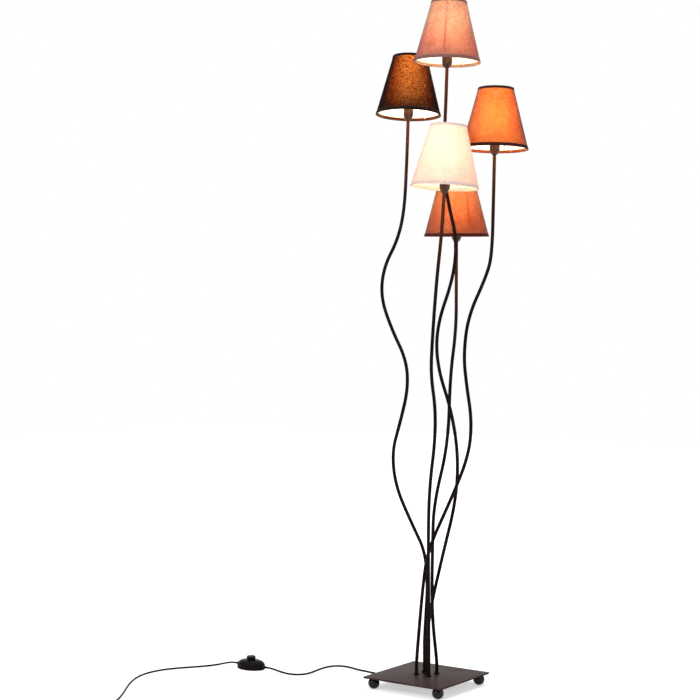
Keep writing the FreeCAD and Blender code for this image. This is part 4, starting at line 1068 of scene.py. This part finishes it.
def coil_way(turns, wider):
    """The lead's direction there. wider is 1 where the turns grow and -1 where they shrink."""
    angle = COIL_START - 2 * math.pi * turns
    radius = COIL_INNER + COIL_PITCH * abs(turns - COIL_TURNS / 2)
    onward = Vector((math.sin(angle), -math.cos(angle), 0)) * 2 * math.pi * radius
    outward = Vector((math.cos(angle), math.sin(angle), 0)) * wider * COIL_PITCH
    return (onward + outward).normalized()


coil = [coil_place(n / POINTS_A_TURN) for n in range(int(COIL_TURNS * POINTS_A_TURN) + 1)]
first_way = coil_way(0, -1)
last_way = coil_way(COIL_TURNS, 1)
coil_start = coil[0] - first_way * 0.0045
plug_start = coil[-1] + last_way * 0.018
far_points = [Vector(SWITCH_LEFT), Vector(SWITCH_LEFT) - Vector((0.0135, 0, 0))]
far_points += [row_place(point) for point in far_route]
far_points += [coil_start - first_way * 0.024, coil_start] + coil
far_points += [coil[-1] + last_way * 0.008, plug_start]
far_lead = smooth_line("lead_to_plug", far_points, CORD_DIAMETER / 2, 8)
fit(far_lead, pvc, "stand", "cord_rubber", "cord_to_coil", "cord_coil")

# ---- cord grip and plug --------------------------------------------------------------------------
# Both are soft rubber mouldings. The grip is a tapered sleeve whose slots let it bend. The flat
# plug has a ribbed sleeve and two round nickel-plated pins.
LEAD_IN_SWITCH = 0.008

# Moulded rubber: a matt black with a fine bloom, drawn 3 mm wide so that it shows.
rubber = coating(
    "moulded_black_rubber", "#0f0d0e", "#191617", 0.004, (0.42, 0.62), 0.003, 0.00004,
    Specular_IOR_Level=0.1,
)
to_left = Matrix.Rotation(math.radians(-90), 4, "Y")

outline = [(0, -0.0031), (0.0053, -0.0031), (0.0053, -0.0015), (0.0041, -0.0015), (0.0041, 0)]
outline += [(0.0053, 0), (0.0053, 0.0013), (0.0050, 0.0016)]
for rib in range(7):
    level = 0.0022 + 0.0031 * rib
    radius = 0.0047 - 0.0016 * rib / 7
    outline += [(radius, level), (radius - 0.0001, level + 0.0019)]
    outline += [(radius - 0.0009, level + 0.0021), (radius - 0.0009, level + 0.0029)]
outline += [(0.0031, 0.0241), (0.0030, 0.0256), (0, 0.0256)]
grip = turned("grip", outline, 40, closed=False)
placed(grip, Matrix.Translation((-0.086, -0.023, 0.014)) @ to_left)
fit(grip, rubber, "stand", "cord_rubber", "cord_grip")

PLUG_TURN = math.atan2(last_way.y, last_way.x)
plug_place = Matrix.Translation(plug_start) @ Matrix.Rotation(PLUG_TURN, 4, "Z")
plug = begin(
    "plug",
    bpy.ops.mesh.primitive_cube_add,
    size=1,
    location=(0.040, 0, 0),
    scale=(0.036, 0.035, 0.0144),
)
bpy.ops.object.mode_set(mode="OBJECT")
bpy.ops.object.transform_apply(location=True, rotation=True, scale=True)
bpy.ops.object.mode_set(mode="EDIT")
bpy.ops.mesh.bisect(plane_co=(0.034, 0, 0), plane_no=(1, 0, 0))
choose(plug, lambda place: place.x < 0.023)
bpy.ops.transform.resize(value=(1, 13 / 35, 1), center_override=(0, 0, 0))
bpy.ops.object.mode_set(mode="OBJECT")
bevelled(plug, 0.003, 5, 30)
finished(plug, 40)
plug.data.transform(plug_place)
fit(plug, rubber, "stand", "cord_rubber", "plug_body")

outline = [(0, 0.0)]
for rib in range(6):
    level = 0.0004 + 0.0036 * rib
    radius = 0.0032 + 0.0014 * rib / 6
    outline += [(radius, level), (radius + 0.0001, level + 0.0022)]
    outline += [(radius - 0.0007, level + 0.0025), (radius - 0.0007, level + 0.0033)]
outline += [(0.0046, 0.0220), (0.0046, 0.0240), (0, 0.0240)]
sleeve = turned("plug_sleeve", outline, 40, closed=False)
placed(sleeve, plug_place @ Matrix.Rotation(math.radians(90), 4, "Y"))
fit(sleeve, rubber, "stand", "cord_rubber")
dress(nickel, "plug_pins")

# The switch's own sleeves, one at each end of its housing.
for side, name in ((1, "right"), (-1, "left")):
    outline = [(0, 0.034), (0.0046, 0.034), (0.0044, 0.0385), (0.0037, 0.0388), (0.0037, 0.0394)]
    outline += [(0.0040, 0.0397), (0.0038, 0.0410), (0.0032, 0.0413), (0.0032, 0.0419)]
    outline += [(0.0035, 0.0422), (0.0032, 0.0448), (0, 0.0450)]
    stub = turned(f"switch_sleeve_{name}", outline, 40, closed=False)
    turn = Matrix.Rotation(math.radians(90 * side), 4, "Y")
    placed(stub, Matrix.Translation(SWITCH_CENTRE + Vector((0, 0, LEAD_IN_SWITCH))) @ turn)
    fit(stub, rubber, "stand", "black_gloss")

# ---- floor, light and background -----------------------------------------------------------------
# A white studio: a pale floor that keeps a soft shadow near the lamp and runs out into white.
bpy.ops.object.select_all(action="DESELECT")
bpy.ops.mesh.primitive_plane_add(size=14, location=(0, 0, -0.0002))
floor = bpy.context.object
floor.name = "studio_floor"
paper, tree, shader, place = new_material("white_paper_sweep", 0.9)
shader.inputs["Base Color"].default_value = linear("#f4f4f4")
shader.inputs["Emission Color"].default_value = (1, 1, 1, 1)


def looked_at(tree):
    """1 on a ray from the camera, a gloss or a clear piece, and 0 on one that only lights."""
    rays = add_node(tree, "ShaderNodeLightPath").outputs
    seen = rays["Is Camera Ray"]
    for ray in ("Is Glossy Ray", "Is Transmission Ray"):
        either = add_node(tree, "ShaderNodeMath", {0: seen, 1: rays[ray]}, operation="MAXIMUM")
        seen = either.outputs[0]
    return seen


away = add_node(tree, "ShaderNodeVectorMath", {0: place}, operation="LENGTH").outputs["Value"]
fading = add_node(
    tree,
    "ShaderNodeMapRange",
    {"Value": away, "From Min": 0.5, "From Max": 1.6, "To Min": 0.52, "To Max": 1.0},
).outputs["Result"]
white = add_node(tree, "ShaderNodeMath", {0: looked_at(tree), 1: fading}, operation="MULTIPLY")
tree.links.new(white.outputs[0], shader.inputs["Emission Strength"])
floor.data.materials.append(paper)


def studio_light(name, place, aim, size, power, colour="#ffffff"):
    """A large soft box that points at a spot on the lamp."""
    light = bpy.data.lights.new(name, "AREA")
    light.shape = "RECTANGLE"
    light.size, light.size_y = size
    light.energy = power
    light.color = linear(colour)[:3]
    box = bpy.data.objects.new(name, light)
    bpy.context.scene.collection.objects.link(box)
    box.location = place
    aimed = (Vector(aim) - Vector(place)).to_track_quat("-Z", "Y")
    box.rotation_euler = aimed.to_euler()


studio_light("key_softbox", (-0.6, -3.2, 2.6), (0, 0, 0.8), (1.6, 1.6), 60)
studio_light("fill_softbox", (3.0, -0.4, 1.6), (0, 0, 0.8), (1.4, 2.0), 12)
studio_light("top_softbox", (0.2, 0.2, 3.4), (0, 0, 0), (2.4, 2.4), 40)

world = bpy.data.worlds.new("white_studio")
bpy.context.scene.world = world
world.use_nodes = True
air = world.node_tree
air.nodes["Background"].inputs["Color"].default_value = (1, 1, 1, 1)
level = add_node(
    air, "ShaderNodeMapRange", {"Value": looked_at(air), "To Min": 0.35, "To Max": 1.0}
)
air.links.new(level.outputs["Result"], air.nodes["Background"].inputs["Strength"])

bpy.context.scene.view_settings.view_transform = "Standard"
